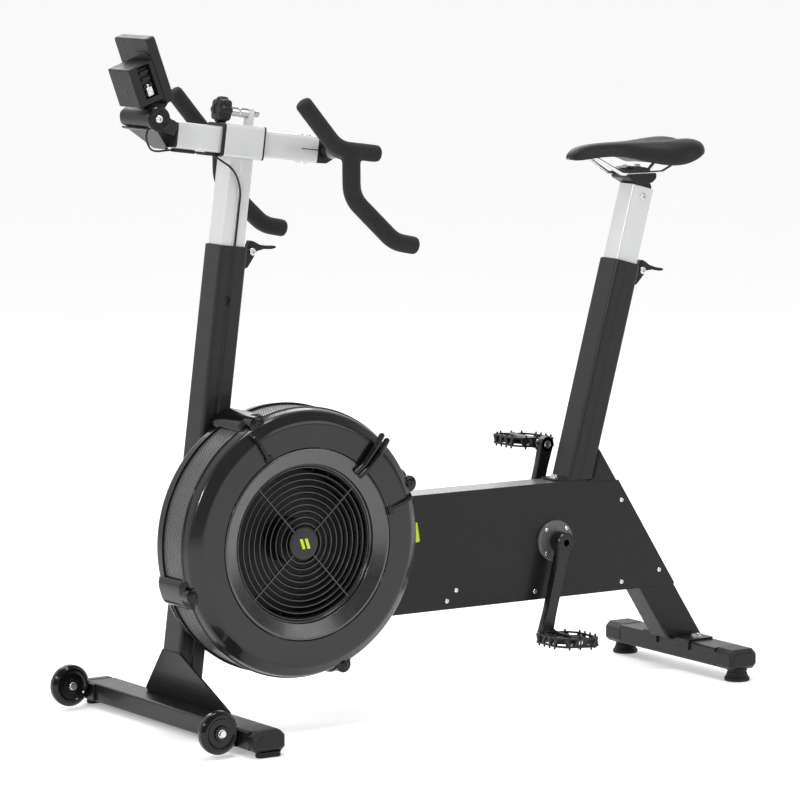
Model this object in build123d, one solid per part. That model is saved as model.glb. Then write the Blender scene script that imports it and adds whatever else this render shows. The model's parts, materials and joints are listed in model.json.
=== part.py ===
from build123d import *
import os
from math import cos, hypot, pi, radians, sin, tan

# An air-braked exercise bike. Lengths are millimetres, measured from the crank axis: +X towards
# the front, +Y to the rider's left, +Z up from the floor. save() then moves every piece back by
# BASE_OFFSET, which puts the origin in the middle of the base box.
BASE_OFFSET = 280.72

# ------------------------------------------------------------------ driving dimensions
RUN_CLEARANCE = 0.05          # radial gap of a shaft in its bearing
SLIDE_GAP = 0.3               # gap round a telescoping tube

CRANK_Z = 269.0
CRANK_LENGTH = 170.0
CRANK_LEAN = 14.1             # left arm, degrees forward of straight down
ARM_IN = 52.0                 # Y limits of a crank arm
ARM_OUT = 67.5
SPINDLE_R = 12.0
SPINDLE_HALF = 58.0
PEDAL_HALF_X = 47.5
PEDAL_IN = 84.0
PEDAL_OUT = 174.0

FRONT_LEAN = 7.27             # degrees that the front post leans back
FRONT_FOOT = (797.2, 138.3)   # a point on the post's front face, X and Z
POST_DEPTH = 55.0
POST_HALF = 29.0
POST_TOP = 711.4              # along the post, from FRONT_FOOT
GUSSET_LEAN = -20.0           # the foot plate leans forward: its base is behind its top
GUSSET_HALF = 151.0           # half width of the foot plate at the crossbar
GUSSET_THICK = 4.0
INNER_DEPTH = 48.5
INNER_HALF = 22.5
SLEEVE_LOW = 864.8            # along the post
SLEEVE_HIGH = 922.5
SLEEVE_BACK = -64.0           # across the post
SLEEVE_FRONT = 14.0
STEM_LOW = 870.0
STEM_HIGH = 916.0
STEM_HALF = 23.0
STEM_BACK = -180.0
STEM_FRONT = 121.0

SEAT_LEAN = 15.1
SEAT_FOOT = (-32.4, 380.0)    # a point on the seat tube's front face, X and Z
SEAT_TOP = 412.0              # along the seat tube
SEAT_DEPTH = 54.0
SEAT_POST_TOP = 550.0

RAIL_LOW = 163.0
RAIL_HIGH = 376.0
RAIL_HALF = 27.0
RAIL_WALL = 3.0
PANEL_OUT = 30.0
LEG_TOP = (-107.6, 427.6)     # a point on the rear edge of the leg, X and Z
LEG_LEAN = 32.61              # degrees from upright
LEG_DEPTH = 68.0

FRONT_BAR = (748.0, 809.0, 10.3, 44.3)     # X and Z limits of the front crossbar
FRONT_BAR_HALF = 304.0
FRONT_CAP = 26.0                # length of an end cap outside the tube
REAR_BAR = (-340.0, -280.0, 24.3, 60.0)
REAR_BAR_HALF = 201.0
REAR_CAP = 54.0
REAR_FOOT = (-312.0, 174.0)
FOOT_OUT = 72.0                 # Y of the outer edge of a foot plate beside the leg
WHEEL_R = 37.5
WHEEL = (855.0, 256.5, 44.0)
WHEEL_HALF = 12.0
BRACKET_WIDE = 31.0

FAN = (614.0, 331.5)          # axis of the fan housing, X and Z
FAN_R = 235.0
FAR_FACE = 30.0
MESH_IN = 66.0
MESH_OUT = 128.0
NEAR_FACE = 160.0
DAMPER_R = 167.0
GRILLE_R = 138.0
DAMPER_ANGLE = 48.6           # lever, from rearwards towards up
CLIP_ANGLES = (22, 114, 198, 290)
FAN_SHAFT_R = 10.0

JACK = (250.0, 285.0)
BIG_PULLEY_R = 88.0
JACK_SMALL_R = 25.0
JACK_LARGE_R = 72.0
FAN_PULLEY_R = 20.0
BELT_THICK = 3.0
BELT_GAP = 0.3
FIRST_BELT = (-20.0, -8.0)    # Y limits
SECOND_BELT = (1.0, 13.0)

BAR_HALF = 215.0              # handlebar sides from the middle
GRIP_R = 15.2
BAR_R = 11.0
HORN_PATH = [(656.6, 1096.3), (588.5, 1016.8), (498.5, 1005.0)]
DROP_PATH = [(560.2, 1008.0), (559.5, 933.1), (472.4, 853.0), (427.6, 848.6)]

MONITOR_TOP = (870.0, 1203.7)  # top edge of the back face, X and Z
MONITOR_LEAN = 20.0
MONITOR_HALF = 54.5
MONITOR_THICK = 19.0
MONITOR_LONG = 118.0
PIVOT = (847.0, 1068.4)
PIVOT_R = 17.0

SADDLE_PIVOT = (-190.0, 918.0)
RAIL_Z = 933.5
RAIL_HALF_GAP = 22.0
RAIL_R = 3.5


# Small pieces of the fixed frame that are gathered as they are made and share a node at the end.
BRACKETS = []
SCREWS = []
LINERS = []


# ------------------------------------------------------------------ helpers
def save(name, *solids):
    shape = solids[0] if len(solids) == 1 else Compound(children=[s for s in solids])
    export_step(Pos(-BASE_OFFSET, 0, 0) * shape, f"parts/{name}.step")


def block(x0, x1, y0, y1, z0, z1):
    return Pos((x0 + x1) / 2, (y0 + y1) / 2, (z0 + z1) / 2) * Box(x1 - x0, y1 - y0, z1 - z0)


def bar_y(x, z, radius, y0, y1):
    return Pos(x, (y0 + y1) / 2, z) * Rot(90, 0, 0) * Cylinder(radius, y1 - y0)


def bar_z(x, y, radius, z0, z1):
    return Pos(x, y, (z0 + z1) / 2) * Cylinder(radius, z1 - z0)


def rod_x(x0, x1, z, radius):
    """A rod on the middle plane, along X."""
    return Pos((x0 + x1) / 2, 0, z) * Rot(0, 90, 0) * Cylinder(radius, x1 - x0)


def ring_y(x, z, outer, inner, y0, y1):
    return bar_y(x, z, outer, y0, y1) - bar_y(x, z, inner, y0 - 1, y1 + 1)


def plate_y(points, y0, y1):
    """A flat plate whose outline is given as X and Z, between two Y planes."""
    turns = zip(points, points[1:] + points[:1])
    if sum(a[0] * b[1] - b[0] * a[1] for a, b in turns) < 0:
        points = points[::-1]
    return extrude(Plane.XZ.offset(-y0) * Polygon(*points, align=None), amount=y0 - y1)


def turned(points, x, z, rounds=()):
    """A solid turned about a Y axis: the outline is radius and Y, rounds is (radius, y, fillet)."""
    outline = Polygon(*points, align=None)
    for r, y, size in rounds:
        corner = outline.vertices().sort_by_distance(Vector(r, y, 0))[0]
        outline = fillet(corner, size)
    return Pos(x, 0, z) * revolve(outline, Axis.Y)


def rounded(solid, axis, radius):
    return fillet(solid.edges().filter_by(axis), radius)


def bent_tube(path, radius, y, bend):
    points = [(x, y, z) for x, z in path]
    route = FilletPolyline(*points, radius=bend)
    start = Plane(origin=route @ 0, z_dir=route % 0)
    return sweep(start * Circle(radius), path=route)


def mirror_pair(solid):
    return [solid, mirror(solid, Plane.XZ)]


def leaning(foot, degrees):
    """The frame of a post: local X across it towards the front, local Z along it."""
    a = radians(degrees)
    return Plane(origin=(foot[0], 0, foot[1]), x_dir=(cos(a), 0, sin(a)), z_dir=(-sin(a), 0, cos(a)))


def to_world(plane, x, z):
    point = plane.from_local_coords((x, 0, z))
    return point.X, point.Z


FRONT = leaning(FRONT_FOOT, FRONT_LEAN)
SEAT = leaning(SEAT_FOOT, SEAT_LEAN)


# ------------------------------------------------------------------ base
def crossbar(limits, half, cap, corner):
    """A hollow crossbar and the plugged cap on its left end."""
    x0, x1, z0, z1 = limits
    inner = half - cap
    tube = block(x0, x1, -inner, inner, z0, z1)
    tube -= block(x0 + 3, x1 - 3, -inner - 1, inner + 1, z0 + 3, z1 - 3)
    end = rounded(block(x0 - 1, x1 + 1, inner, half, z0 - 1, z1 + 1), Axis.Y, corner)
    return tube, end + block(x0 + 3, x1 - 3, inner - 18, inner, z0 + 3, z1 - 3)


def make_base():
    front_tube, front_cap = crossbar(FRONT_BAR, FRONT_BAR_HALF, FRONT_CAP, 7)
    rear_tube, rear_cap = crossbar(REAR_BAR, REAR_BAR_HALF, REAR_CAP, 8)
    save("front_crossbar", front_tube)
    save("rear_crossbar", rear_tube)
    save("end_caps", *mirror_pair(front_cap), *mirror_pair(rear_cap))
    x0, x1, z0, z1 = FRONT_BAR
    pad = block(x0 + 6, x1 - 8, FRONT_BAR_HALF - FRONT_CAP + 2, FRONT_BAR_HALF - 4, 0, z0 - 1)
    top = REAR_BAR[2] - 1
    profile = [(0, 0), (23.5, 0), (23.5, 7), (19, 14), (19, top), (0, top)]
    foot = revolve(Plane.XZ * Polygon(*profile, align=None), Axis.Z)
    foot = Pos(REAR_FOOT[0], REAR_FOOT[1], 0) * foot
    save("floor_feet", *mirror_pair(rounded(pad, Axis.Z, 8)), *mirror_pair(foot))


def make_wheels():
    x, y, z = WHEEL
    rim = FRONT_BAR[1]
    for side, middle in (("left", y), ("right", -y)):
        arm_y = middle - WHEEL_HALF - 2
        base_y = arm_y - 5 if side == "right" else arm_y - BRACKET_WIDE
        base = block(rim, rim + 5, base_y, base_y + BRACKET_WIDE, 13, 43)
        arm = plate_y([(rim, 13), (x + 6, z - 15), (x + 14, z), (x + 6, z + 13), (rim, 43)],
                      arm_y - 5, arm_y)
        axle = bar_y(x, z, 4, arm_y, middle + WHEEL_HALF + 1)
        head = bar_y(x, z, 7, middle + WHEEL_HALF + 1, middle + WHEEL_HALF + 5)
        BRACKETS.append(base + arm)
        SCREWS.append(axle + head)
        width = WHEEL_HALF
        tyre = [(20, -width + 3), (29, -width + 2), (WHEEL_R, -5), (WHEEL_R, 5),
                (29, width - 2), (20, width - 3)]
        tyre_solid = turned(tyre, x, z, [(WHEEL_R, -5, 4), (WHEEL_R, 5, 4)])
        hub = ring_y(x, z, 20, 4 + RUN_CLEARANCE, -width, width)
        save(f"{side}_wheel", Pos(0, middle, 0) * tyre_solid, Pos(0, middle, 0) * hub)


# ------------------------------------------------------------------ frame
def make_front_post():
    outer = rounded(block(-POST_DEPTH, 0, -POST_HALF, POST_HALF, -130, POST_TOP), Axis.Z, 6)
    bore = block(-POST_DEPTH + 2, -2, -POST_HALF + 2, POST_HALF - 2, -131, POST_TOP + 1)
    below = block(600, 900, -200, 200, -40, FRONT_BAR[3])
    plate_frame = leaning(FRONT_FOOT, GUSSET_LEAN)
    ahead = plate_frame * block(-GUSSET_THICK, 200, -60, 60, -200, 0)
    save("front_post", FRONT * (outer - bore) - below - ahead)
    gap_x = (POST_DEPTH - INNER_DEPTH) / 2
    liner = block(-POST_DEPTH + 2, -2, -POST_HALF + 2, POST_HALF - 2, POST_TOP - 60, POST_TOP)
    liner -= block(-POST_DEPTH + gap_x - SLIDE_GAP, -gap_x + SLIDE_GAP, -INNER_HALF - SLIDE_GAP,
                   INNER_HALF + SLIDE_GAP, POST_TOP - 61, POST_TOP + 1)
    liner -= block(-34, -26, INNER_HALF, POST_HALF, POST_TOP - 61, POST_TOP + 1)
    LINERS.append(FRONT * liner)

    # A flat plate closes the slanted cut of the post's foot and spreads out to the crossbar's top.
    drop = (FRONT_FOOT[1] - FRONT_BAR[3]) / cos(radians(GUSSET_LEAN))
    outline = Polygon((-POST_HALF, 0), (-GUSSET_HALF, -drop), (-GUSSET_HALF, -drop - 4),
                      (GUSSET_HALF, -drop - 4), (GUSSET_HALF, -drop), (POST_HALF, 0), align=None)
    gusset = extrude(Plane.YZ.offset(-GUSSET_THICK) * outline, amount=GUSSET_THICK)
    save("post_gusset", plate_frame * gusset - below)


def leg_edge(z, depth=0.0):
    """X of the rear leg at a height, depth in from its rear edge."""
    a = radians(LEG_LEAN)
    return LEG_TOP[0] - (LEG_TOP[1] - z) * tan(a) + depth / cos(a)


def seat_edge(z, depth=0.0):
    """X of the seat tube at a height, depth back from its front face."""
    a = radians(SEAT_LEAN)
    return SEAT_FOOT[0] - (z - SEAT_FOOT[1]) * tan(a) - depth / cos(a)


def post_edge(z, depth=0.0):
    a = radians(FRONT_LEAN)
    return FRONT_FOOT[0] - (z - FRONT_FOOT[1]) * tan(a) - depth / cos(a)


def rail_outline(inset=0.0):
    low, high = RAIL_LOW + inset, RAIL_HIGH - inset
    return [(leg_edge(high, LEG_DEPTH) + inset, high), (post_edge(high, POST_DEPTH) - inset, high),
            (post_edge(low, POST_DEPTH) - inset, low), (leg_edge(low, LEG_DEPTH) + inset, low)]


def make_frame():
    rail = plate_y(rail_outline(), -RAIL_HALF, RAIL_HALF)
    rail -= plate_y(rail_outline(4), -RAIL_HALF + RAIL_WALL, RAIL_HALF - RAIL_WALL)
    bearing = RAIL_HALF + 1
    for (x, z), radius in (((0, CRANK_Z), 21), (JACK, 17), (FAN, 17)):
        rail -= bar_y(x, z, radius, -bearing, bearing)
    save("main_rail", rail)

    cut_z = RAIL_HIGH - 6
    panel = [(leg_edge(cut_z), cut_z), (-78, cut_z), (-68, RAIL_HIGH),
             (post_edge(RAIL_HIGH, 60), RAIL_HIGH), (post_edge(RAIL_LOW, 60), RAIL_LOW),
             (leg_edge(RAIL_LOW), RAIL_LOW)]
    left = plate_y(panel, RAIL_HALF, PANEL_OUT)
    for (x, z), radius in (((0, CRANK_Z), 21), (FAN, 17)):
        left -= bar_y(x, z, radius, 0, 60)
    rear_screws = [(-150.5, 332), (-238, 194), (-151.6, 179), (43.8, 179), (218, 197), (238, 179)]
    front_screws = [(430, 197), (560, 179), (690, 197), (690, 340)]
    right = mirror(left, Plane.XZ)
    for x, z in rear_screws + front_screws:
        screw = bar_y(x, z, 2.5, RAIL_HALF, PANEL_OUT)
        screw += bar_y(x, z, 4.5, PANEL_OUT, PANEL_OUT + 2)
        right -= bar_y(x, z, 2.5, -PANEL_OUT - 1, -RAIL_HALF + 1)
        SCREWS.append(mirror(screw, Plane.XZ))
        if (x, z) in rear_screws:
            left -= bar_y(x, z, 2.5, RAIL_HALF - 1, PANEL_OUT + 1)
            SCREWS.append(screw)
    save("left_side_panel", left)
    save("right_side_panel", right)

    body = rounded(block(-SEAT_DEPTH, 0, -POST_HALF, POST_HALF, -60, SEAT_TOP), Axis.Z, 6)
    bore = block(-SEAT_DEPTH + 2, -2, -POST_HALF + 2, POST_HALF - 2, -61, SEAT_TOP + 1)
    save("seat_tube", SEAT * (body - bore) - block(-300, 200, -60, 60, 200, RAIL_HIGH))
    gap_x = (SEAT_DEPTH - INNER_DEPTH) / 2
    liner = block(-SEAT_DEPTH + 2, -2, -POST_HALF + 2, POST_HALF - 2, SEAT_TOP - 60, SEAT_TOP)
    liner -= block(-SEAT_DEPTH + gap_x - SLIDE_GAP, -gap_x + SLIDE_GAP, -INNER_HALF - SLIDE_GAP,
                   INNER_HALF + SLIDE_GAP, SEAT_TOP - 61, SEAT_TOP + 1)
    LINERS.append(SEAT * liner)

    floor = REAR_BAR[3]
    tip_z = LEG_TOP[1] + 4
    leg = plate_y([(seat_edge(tip_z, SEAT_DEPTH), tip_z), (seat_edge(RAIL_HIGH, SEAT_DEPTH), RAIL_HIGH),
                   (leg_edge(RAIL_HIGH, LEG_DEPTH), RAIL_HIGH), (leg_edge(floor, LEG_DEPTH), floor),
                   (leg_edge(floor), floor)], -RAIL_HALF, RAIL_HALF)
    hollow = plate_y([(leg_edge(RAIL_HIGH - 20, 5), RAIL_HIGH - 20),
                      (leg_edge(RAIL_HIGH - 20, LEG_DEPTH - 5), RAIL_HIGH - 20),
                      (leg_edge(floor, LEG_DEPTH - 5), floor - 1), (leg_edge(floor, 5), floor - 1)],
                     -RAIL_HALF + 3, RAIL_HALF - 3)
    save("rear_leg", leg - hollow)

    front_x = seat_edge(RAIL_HIGH)
    plate = block(front_x, front_x + 26, -24, 24, RAIL_HIGH, RAIL_HIGH + 4)
    plate -= bar_z(front_x + 12, 0, 3, 300, 400)
    bolt = bar_z(front_x + 12, 0, 3, RAIL_HIGH, RAIL_HIGH + 4)
    bolt += bar_z(front_x + 12, 0, 6, RAIL_HIGH + 4, RAIL_HIGH + 8)
    BRACKETS.append(plate)
    SCREWS.append(bolt)

    # A foot plate on each side of the leg, bolted down and lipped over the crossbar's front face.
    rear, front = REAR_BAR[:2]
    foot = block(rear + 4, front + 4, RAIL_HALF, FOOT_OUT, floor, floor + 4)
    foot += block(front, front + 4, RAIL_HALF, FOOT_OUT, floor - 16, floor)
    bolt_x, bolt_y = (rear + front) / 2, (RAIL_HALF + FOOT_OUT) / 2
    foot -= bar_z(bolt_x, bolt_y, 4, 0, 100)
    bolt = bar_z(bolt_x, bolt_y, 4, floor, floor + 4) + bar_z(bolt_x, bolt_y, 8, floor + 4, floor + 9)
    BRACKETS.extend(mirror_pair(foot))
    SCREWS.extend(mirror_pair(bolt))


# ------------------------------------------------------------------ drive
def belt(first, first_r, second, second_r, y_limits):
    """A flat loop round two pulleys that both lie in the XZ plane."""
    x, z = second[0] - first[0], second[1] - first[1]

    def loop(extra):
        circles = Circle(first_r + extra).edges() + (Pos(x, z) * Circle(second_r + extra)).edges()
        return make_hull(circles)

    middle = (y_limits[0] + y_limits[1]) / 2
    half = (y_limits[1] - y_limits[0]) / 2
    base = Plane.XZ.offset(-middle) * Pos(first[0], first[1])
    outer = extrude(base * loop(BELT_GAP + BELT_THICK), amount=half, both=True)
    return outer - extrude(base * loop(BELT_GAP), amount=half + 1, both=True)


def make_drive():
    crank = (0, CRANK_Z)
    shafts = ((crank, 21, SPINDLE_R, 20, PANEL_OUT), (JACK, 17, 8, 20, RAIL_HALF),
              (FAN, 17, FAN_SHAFT_R, 17, PANEL_OUT))
    bearings = []
    for (x, z), outer_r, bore_r, start, limit in shafts:
        bearings += mirror_pair(ring_y(x, z, outer_r, bore_r + RUN_CLEARANCE, start, limit))
    save("shaft_bearings", *bearings)
    cover = ring_y(*crank, 38, 13, PANEL_OUT, PANEL_OUT + 6)
    spots = [(22 * i, CRANK_Z + 22 * j) for i in (1, -1) for j in (1, -1)]
    for x, z in spots:
        cover -= bar_y(x, z, 2, 0, 60)
        screw = bar_y(x, z, 2, PANEL_OUT, PANEL_OUT + 6) + bar_y(x, z, 4, PANEL_OUT + 6, PANEL_OUT + 8)
        SCREWS.extend(mirror_pair(screw))
    save("crank_covers", *mirror_pair(cover))

    spindle = bar_y(*crank, SPINDLE_R, -SPINDLE_HALF, SPINDLE_HALF)
    save("crank_spindle", spindle, ring_y(*crank, BIG_PULLEY_R, SPINDLE_R, *FIRST_BELT))
    save("jackshaft", bar_y(*JACK, 8, -RAIL_HALF, RAIL_HALF), ring_y(*JACK, JACK_SMALL_R, 8, *FIRST_BELT),
         ring_y(*JACK, JACK_LARGE_R, 8, *SECOND_BELT))
    save("drive_belts", belt(crank, BIG_PULLEY_R, JACK, JACK_SMALL_R, FIRST_BELT),
         belt(JACK, JACK_LARGE_R, FAN, FAN_PULLEY_R, SECOND_BELT))


def make_cranks():
    a = radians(CRANK_LEAN)
    arms = []
    for side, turn, flip in (("left", 1, 1), ("right", -1, -1)):
        px, pz = turn * CRANK_LENGTH * sin(a), CRANK_Z - turn * CRANK_LENGTH * cos(a)
        across = Vector(cos(a), 0, sin(a)) * turn
        centre = Vector(0, 0, CRANK_Z)
        tip = Vector(px, 0, pz)
        y0, y1 = sorted((flip * ARM_IN, flip * ARM_OUT))
        corners = [centre + across * 15, centre - across * 15, tip - across * 13, tip + across * 13]
        arm = plate_y([(c.X, c.Z) for c in corners], y0, y1)
        hub_y = sorted((flip * (ARM_IN - 12), flip * ARM_OUT))
        arm += bar_y(0, CRANK_Z, 19, *hub_y) + bar_y(px, pz, 15, y0, y1)
        bore_y = sorted((flip * (ARM_IN - 13), flip * SPINDLE_HALF))
        arm -= bar_y(0, CRANK_Z, SPINDLE_R, *bore_y)
        axle_y = sorted((flip * ARM_OUT, flip * (PEDAL_OUT - 4)))
        collar_y = sorted((flip * ARM_OUT, flip * (PEDAL_IN - 2)))
        axle = bar_y(px, pz, 5, *axle_y) + bar_y(px, pz, 8, *collar_y)
        arms += [arm, axle]
        save(f"{side}_pedal", make_pedal(px, pz, flip))
    save("crank_arms", *arms)


def make_pedal(px, pz, flip):
    """An open platform: an eight-sided ring, a middle barrel and two cross webs."""
    half, thick = PEDAL_HALF_X, 10.0
    mid = (PEDAL_IN + PEDAL_OUT) / 2
    reach = (PEDAL_OUT - PEDAL_IN) / 2
    corner = 16.0
    outer = [(-half, -reach + corner), (-half, reach - corner), (-half + corner, reach),
             (half - corner, reach), (half, reach - corner), (half, -reach + corner),
             (half - corner, -reach), (-half + corner, -reach)]
    shrink = (half - 7) / half
    ring = extrude(Polygon(*outer, align=None), amount=thick, both=True)
    ring -= extrude(Polygon(*[(x * shrink, y * (reach - 7) / reach) for x, y in outer], align=None),
                    amount=thick + 1, both=True)
    barrel = Rot(90, 0, 0) * Cylinder(10, 2 * reach - 4)
    webs = [Pos(0, y, 0) * Box(2 * half - 8, 5, 2 * thick - 4) for y in (-18, 18)]
    pedal = ring + barrel + webs[0] + webs[1]
    pins = [Pos(x, y, 0) * Cylinder(1.6, 2 * thick + 8)
            for x in (-half + 3.5, half - 3.5) for y in (-22, 0, 22)]
    pins += [Pos(x, y, 0) * Cylinder(1.6, 2 * thick + 8)
             for x in (-22, 22) for y in (-reach + 3.5, reach - 3.5)]
    for pin in pins:
        pedal += pin
    pedal -= Rot(90, 0, 0) * Cylinder(5 + RUN_CLEARANCE, 3 * reach)
    return Pos(px, flip * mid, pz) * pedal


# ------------------------------------------------------------------ fan and housing
def make_housing():
    far = [(24, FAR_FACE), (FAN_R, FAR_FACE), (FAN_R, MESH_IN), (FAN_R - 4, MESH_IN),
           (FAN_R - 4, FAR_FACE + 4), (24, FAR_FACE + 4)]
    far_shell = turned(far, *FAN, [(FAN_R, FAR_FACE, 16), (FAN_R - 4, FAR_FACE + 4, 12)])
    save("far_housing", far_shell)
    lip = DAMPER_R + 1.5
    near = [(lip, NEAR_FACE), (FAN_R, NEAR_FACE), (FAN_R, MESH_OUT), (FAN_R - 4, MESH_OUT),
            (FAN_R - 4, NEAR_FACE - 4), (lip + 4, NEAR_FACE - 4), (lip + 4, NEAR_FACE - 12),
            (lip, NEAR_FACE - 12)]
    near_shell = turned(near, *FAN, [(FAN_R, NEAR_FACE, 20), (FAN_R - 4, NEAR_FACE - 4, 16)])
    for angle in (16, 118):
        stop = block(-3, 3, NEAR_FACE - 1, NEAR_FACE + 5, DAMPER_R + 8, FAN_R - 22)
        near_shell += around_fan(stop, angle)
    save("near_housing", near_shell)
    save("mesh_band", ring_y(*FAN, FAN_R - 1, FAN_R - 3, MESH_IN, MESH_OUT))

    clips = []
    for angle in CLIP_ANGLES:
        start = POST_HALF if angle == 114 else MESH_IN - 12
        clip = block(-14, 14, start, MESH_OUT + 10, 200, FAN_R + 9)
        clips.append(around_fan(clip, angle) - bar_y(*FAN, FAN_R, 0, 300))
    save("housing_clips", *clips)

    disc = [(GRILLE_R + 1, NEAR_FACE - 14), (GRILLE_R + 1, NEAR_FACE - 10), (DAMPER_R, NEAR_FACE),
            (DAMPER_R, NEAR_FACE - 4)]
    damper = turned(disc, *FAN)
    lever = block(-4, 4, NEAR_FACE + 0.5, NEAR_FACE + 9, DAMPER_R - 6, FAN_R - 22)
    lever += block(-4, 4, NEAR_FACE - 4, NEAR_FACE + 9, DAMPER_R - 6, DAMPER_R - 1)
    save("damper_ring", damper + around_fan(lever, DAMPER_ANGLE))

    y0, y1 = NEAR_FACE - 18, NEAR_FACE - 14.5
    grille = ring_y(*FAN, 27, 12, y0, y1)
    for i in range(10):
        r = 33 + 11.2 * i
        grille += ring_y(*FAN, r + 1.2, r - 1.2, y0, y1)
    grille += ring_y(*FAN, GRILLE_R, GRILLE_R - 3.5, y0, y1)
    for angle in (45, 135, 225, 315):
        grille += around_fan(block(-1.4, 1.4, y0, y1, 20, GRILLE_R - 2), angle)
    rim = ring_y(*FAN, lip + 4, GRILLE_R - 3.5, y0 - 3, y0)
    rim += ring_y(*FAN, lip + 4, lip, y0, NEAR_FACE - 12)
    save("grille", grille + rim)
    save("grille_badge", bar_y(*FAN, 24, y1, y1 + 3))


def around_fan(solid, angle):
    """Turn a solid built above a Y axis at the origin to an angle from rearwards, and centre it."""
    return Pos(FAN[0], 0, FAN[1]) * Rot(0, angle - 90, 0) * solid


def make_flywheel():
    y0, y1 = MESH_IN + 6, MESH_OUT - 6
    wheel = ring_y(*FAN, 40, FAN_SHAFT_R, y0 - 8, y1)
    wheel += ring_y(*FAN, 218, 39, y0, y0 + 4)
    for i in range(24):
        wheel += around_fan(block(-1.2, 1.2, y0 + 3, y1, 125, 216), 15 * i)
    save("fan_wheel", wheel)
    save("flywheel_shaft", bar_y(*FAN, FAN_SHAFT_R, -PANEL_OUT, y1),
         ring_y(*FAN, FAN_PULLEY_R, FAN_SHAFT_R, *SECOND_BELT))


# ------------------------------------------------------------------ steering column, stem, bars
def make_column():
    gap = (POST_DEPTH - INNER_DEPTH) / 2
    post = rounded(block(-POST_DEPTH + gap, -gap, -INNER_HALF, INNER_HALF, POST_TOP - 250, SLEEVE_LOW),
                   Axis.Z, 4)
    post -= block(-POST_DEPTH + gap + 3, -gap - 3, -INNER_HALF + 3, INNER_HALF - 3, 0, SLEEVE_LOW + 1)
    save("handlebar_post", FRONT * post)
    sleeve = block(SLEEVE_BACK, SLEEVE_FRONT, -30, 30, SLEEVE_LOW, SLEEVE_HIGH)
    sleeve = rounded(sleeve, Axis.X, 5)
    sleeve -= block(SLEEVE_BACK - 1, SLEEVE_FRONT + 1, -27, 27, SLEEVE_LOW + 3, SLEEVE_HIGH - 3)
    liner = block(SLEEVE_BACK, SLEEVE_FRONT, -27, 27, SLEEVE_LOW + 3, SLEEVE_HIGH - 3)
    liner += block(SLEEVE_FRONT, SLEEVE_FRONT + 3, -29, 29, SLEEVE_LOW + 1, SLEEVE_HIGH - 1)
    liner -= block(SLEEVE_BACK - 1, SLEEVE_FRONT + 9, -STEM_HALF - SLIDE_GAP, STEM_HALF + SLIDE_GAP,
                   STEM_LOW - SLIDE_GAP, STEM_HIGH + SLIDE_GAP)
    save("sleeve_liner", FRONT * liner)

    knob_z = SLEEVE_HIGH + 22
    lug = block(-52, -40, -8, 8, SLEEVE_HIGH, knob_z + 7) - rod_x(-60, -30, knob_z, 4 + RUN_CLEARANCE)
    save("stem_sleeve", FRONT * (sleeve + lug))
    knob = rod_x(0, 16, knob_z, 17)
    for i in range(8):
        a = 2 * pi * i / 8
        lobe = Pos(8, 17 * sin(a), knob_z + 17 * cos(a)) * Rot(0, 90, 0) * Cylinder(4.6, 14)
        knob += lobe
    save("clamp_knob", FRONT * knob)
    save("clamp_barrel", FRONT * (rod_x(-40, 0, knob_z, 9) + rod_x(-56, -40, knob_z, 4)))


def make_stem():
    stem = rounded(block(STEM_BACK, STEM_FRONT, -STEM_HALF, STEM_HALF, STEM_LOW, STEM_HIGH), Axis.X, 4)
    stem -= block(STEM_BACK - 1, STEM_FRONT + 1, -STEM_HALF + 3, STEM_HALF - 3, STEM_LOW + 3, STEM_HIGH - 3)
    save("stem_tube", FRONT * stem)
    middle = (STEM_LOW + STEM_HIGH) / 2
    clamp = block(STEM_BACK - 32, STEM_BACK, -22, 22, STEM_LOW, STEM_HIGH - 2)
    clamp += block(STEM_BACK, STEM_BACK + 30, -STEM_HALF + 3, STEM_HALF - 3, STEM_LOW + 3, STEM_HIGH - 3)
    bar_hole = Pos(STEM_BACK - 16, 0, middle) * Rot(90, 0, 0) * Cylinder(BAR_R, 80)
    save("stem_clamp", FRONT * (clamp - bar_hole))
    screws = [Pos(STEM_BACK + x, 0, STEM_HIGH + 1.5) * Cylinder(4, 3) for x in (8, 20)]
    screws += [Pos(STEM_BACK + x, 0, STEM_LOW - 1.5) * Cylinder(4, 3) for x in (8, 20)]
    clip = block(66, 107, 6, 20, STEM_LOW - 6, STEM_LOW)
    clip -= block(60, 120, 9.5, 14.5, STEM_LOW - 5.2, STEM_LOW - 0.8)
    save("stem_fittings", *[FRONT * s for s in screws], FRONT * clip)

    start = to_world(FRONT, STEM_BACK - 16, middle)
    join = (570.0, 1012.0)
    route = FilletPolyline((start[0], 0, start[1]), (start[0], 45, start[1]),
                           (join[0], 175, join[1]), (join[0], BAR_HALF, join[1]), radius=40)
    cross = sweep(Plane(origin=route @ 0, z_dir=route % 0) * Circle(BAR_R), path=route)
    horn_end = stretch(HORN_PATH, -6, 0)
    drop_end = stretch(DROP_PATH, 0, -6)
    horn = bent_tube(horn_end, BAR_R, BAR_HALF, 55)
    drop = bent_tube(drop_end, BAR_R, BAR_HALF, 40)
    half = cross + horn + drop
    save("handlebar", half + mirror(half, Plane.XZ))
    horn_grip = bent_tube(HORN_PATH, GRIP_R, BAR_HALF, 55)
    drop_grip = bent_tube(DROP_PATH, GRIP_R, BAR_HALF, 40)
    top_foam = horn_grip - half
    low_foam = drop_grip - half - horn_grip
    low_foam = low_foam.solids().sort_by(SortBy.VOLUME)[-1]
    top_foam = top_foam.solids().sort_by(SortBy.VOLUME)[-1]
    save("left_grips", top_foam, low_foam)
    save("right_grips", mirror(top_foam, Plane.XZ), mirror(low_foam, Plane.XZ))


def stretch(path, start, end):
    """Lengthen the first and last runs of a route, or shorten them where negative."""
    def moved(point, towards, amount):
        run = hypot(point[0] - towards[0], point[1] - towards[1])
        return tuple(p + (p - t) * amount / run for p, t in zip(point, towards))

    return [moved(path[0], path[1], start), *path[1:-1], moved(path[-1], path[-2], end)]


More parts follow.
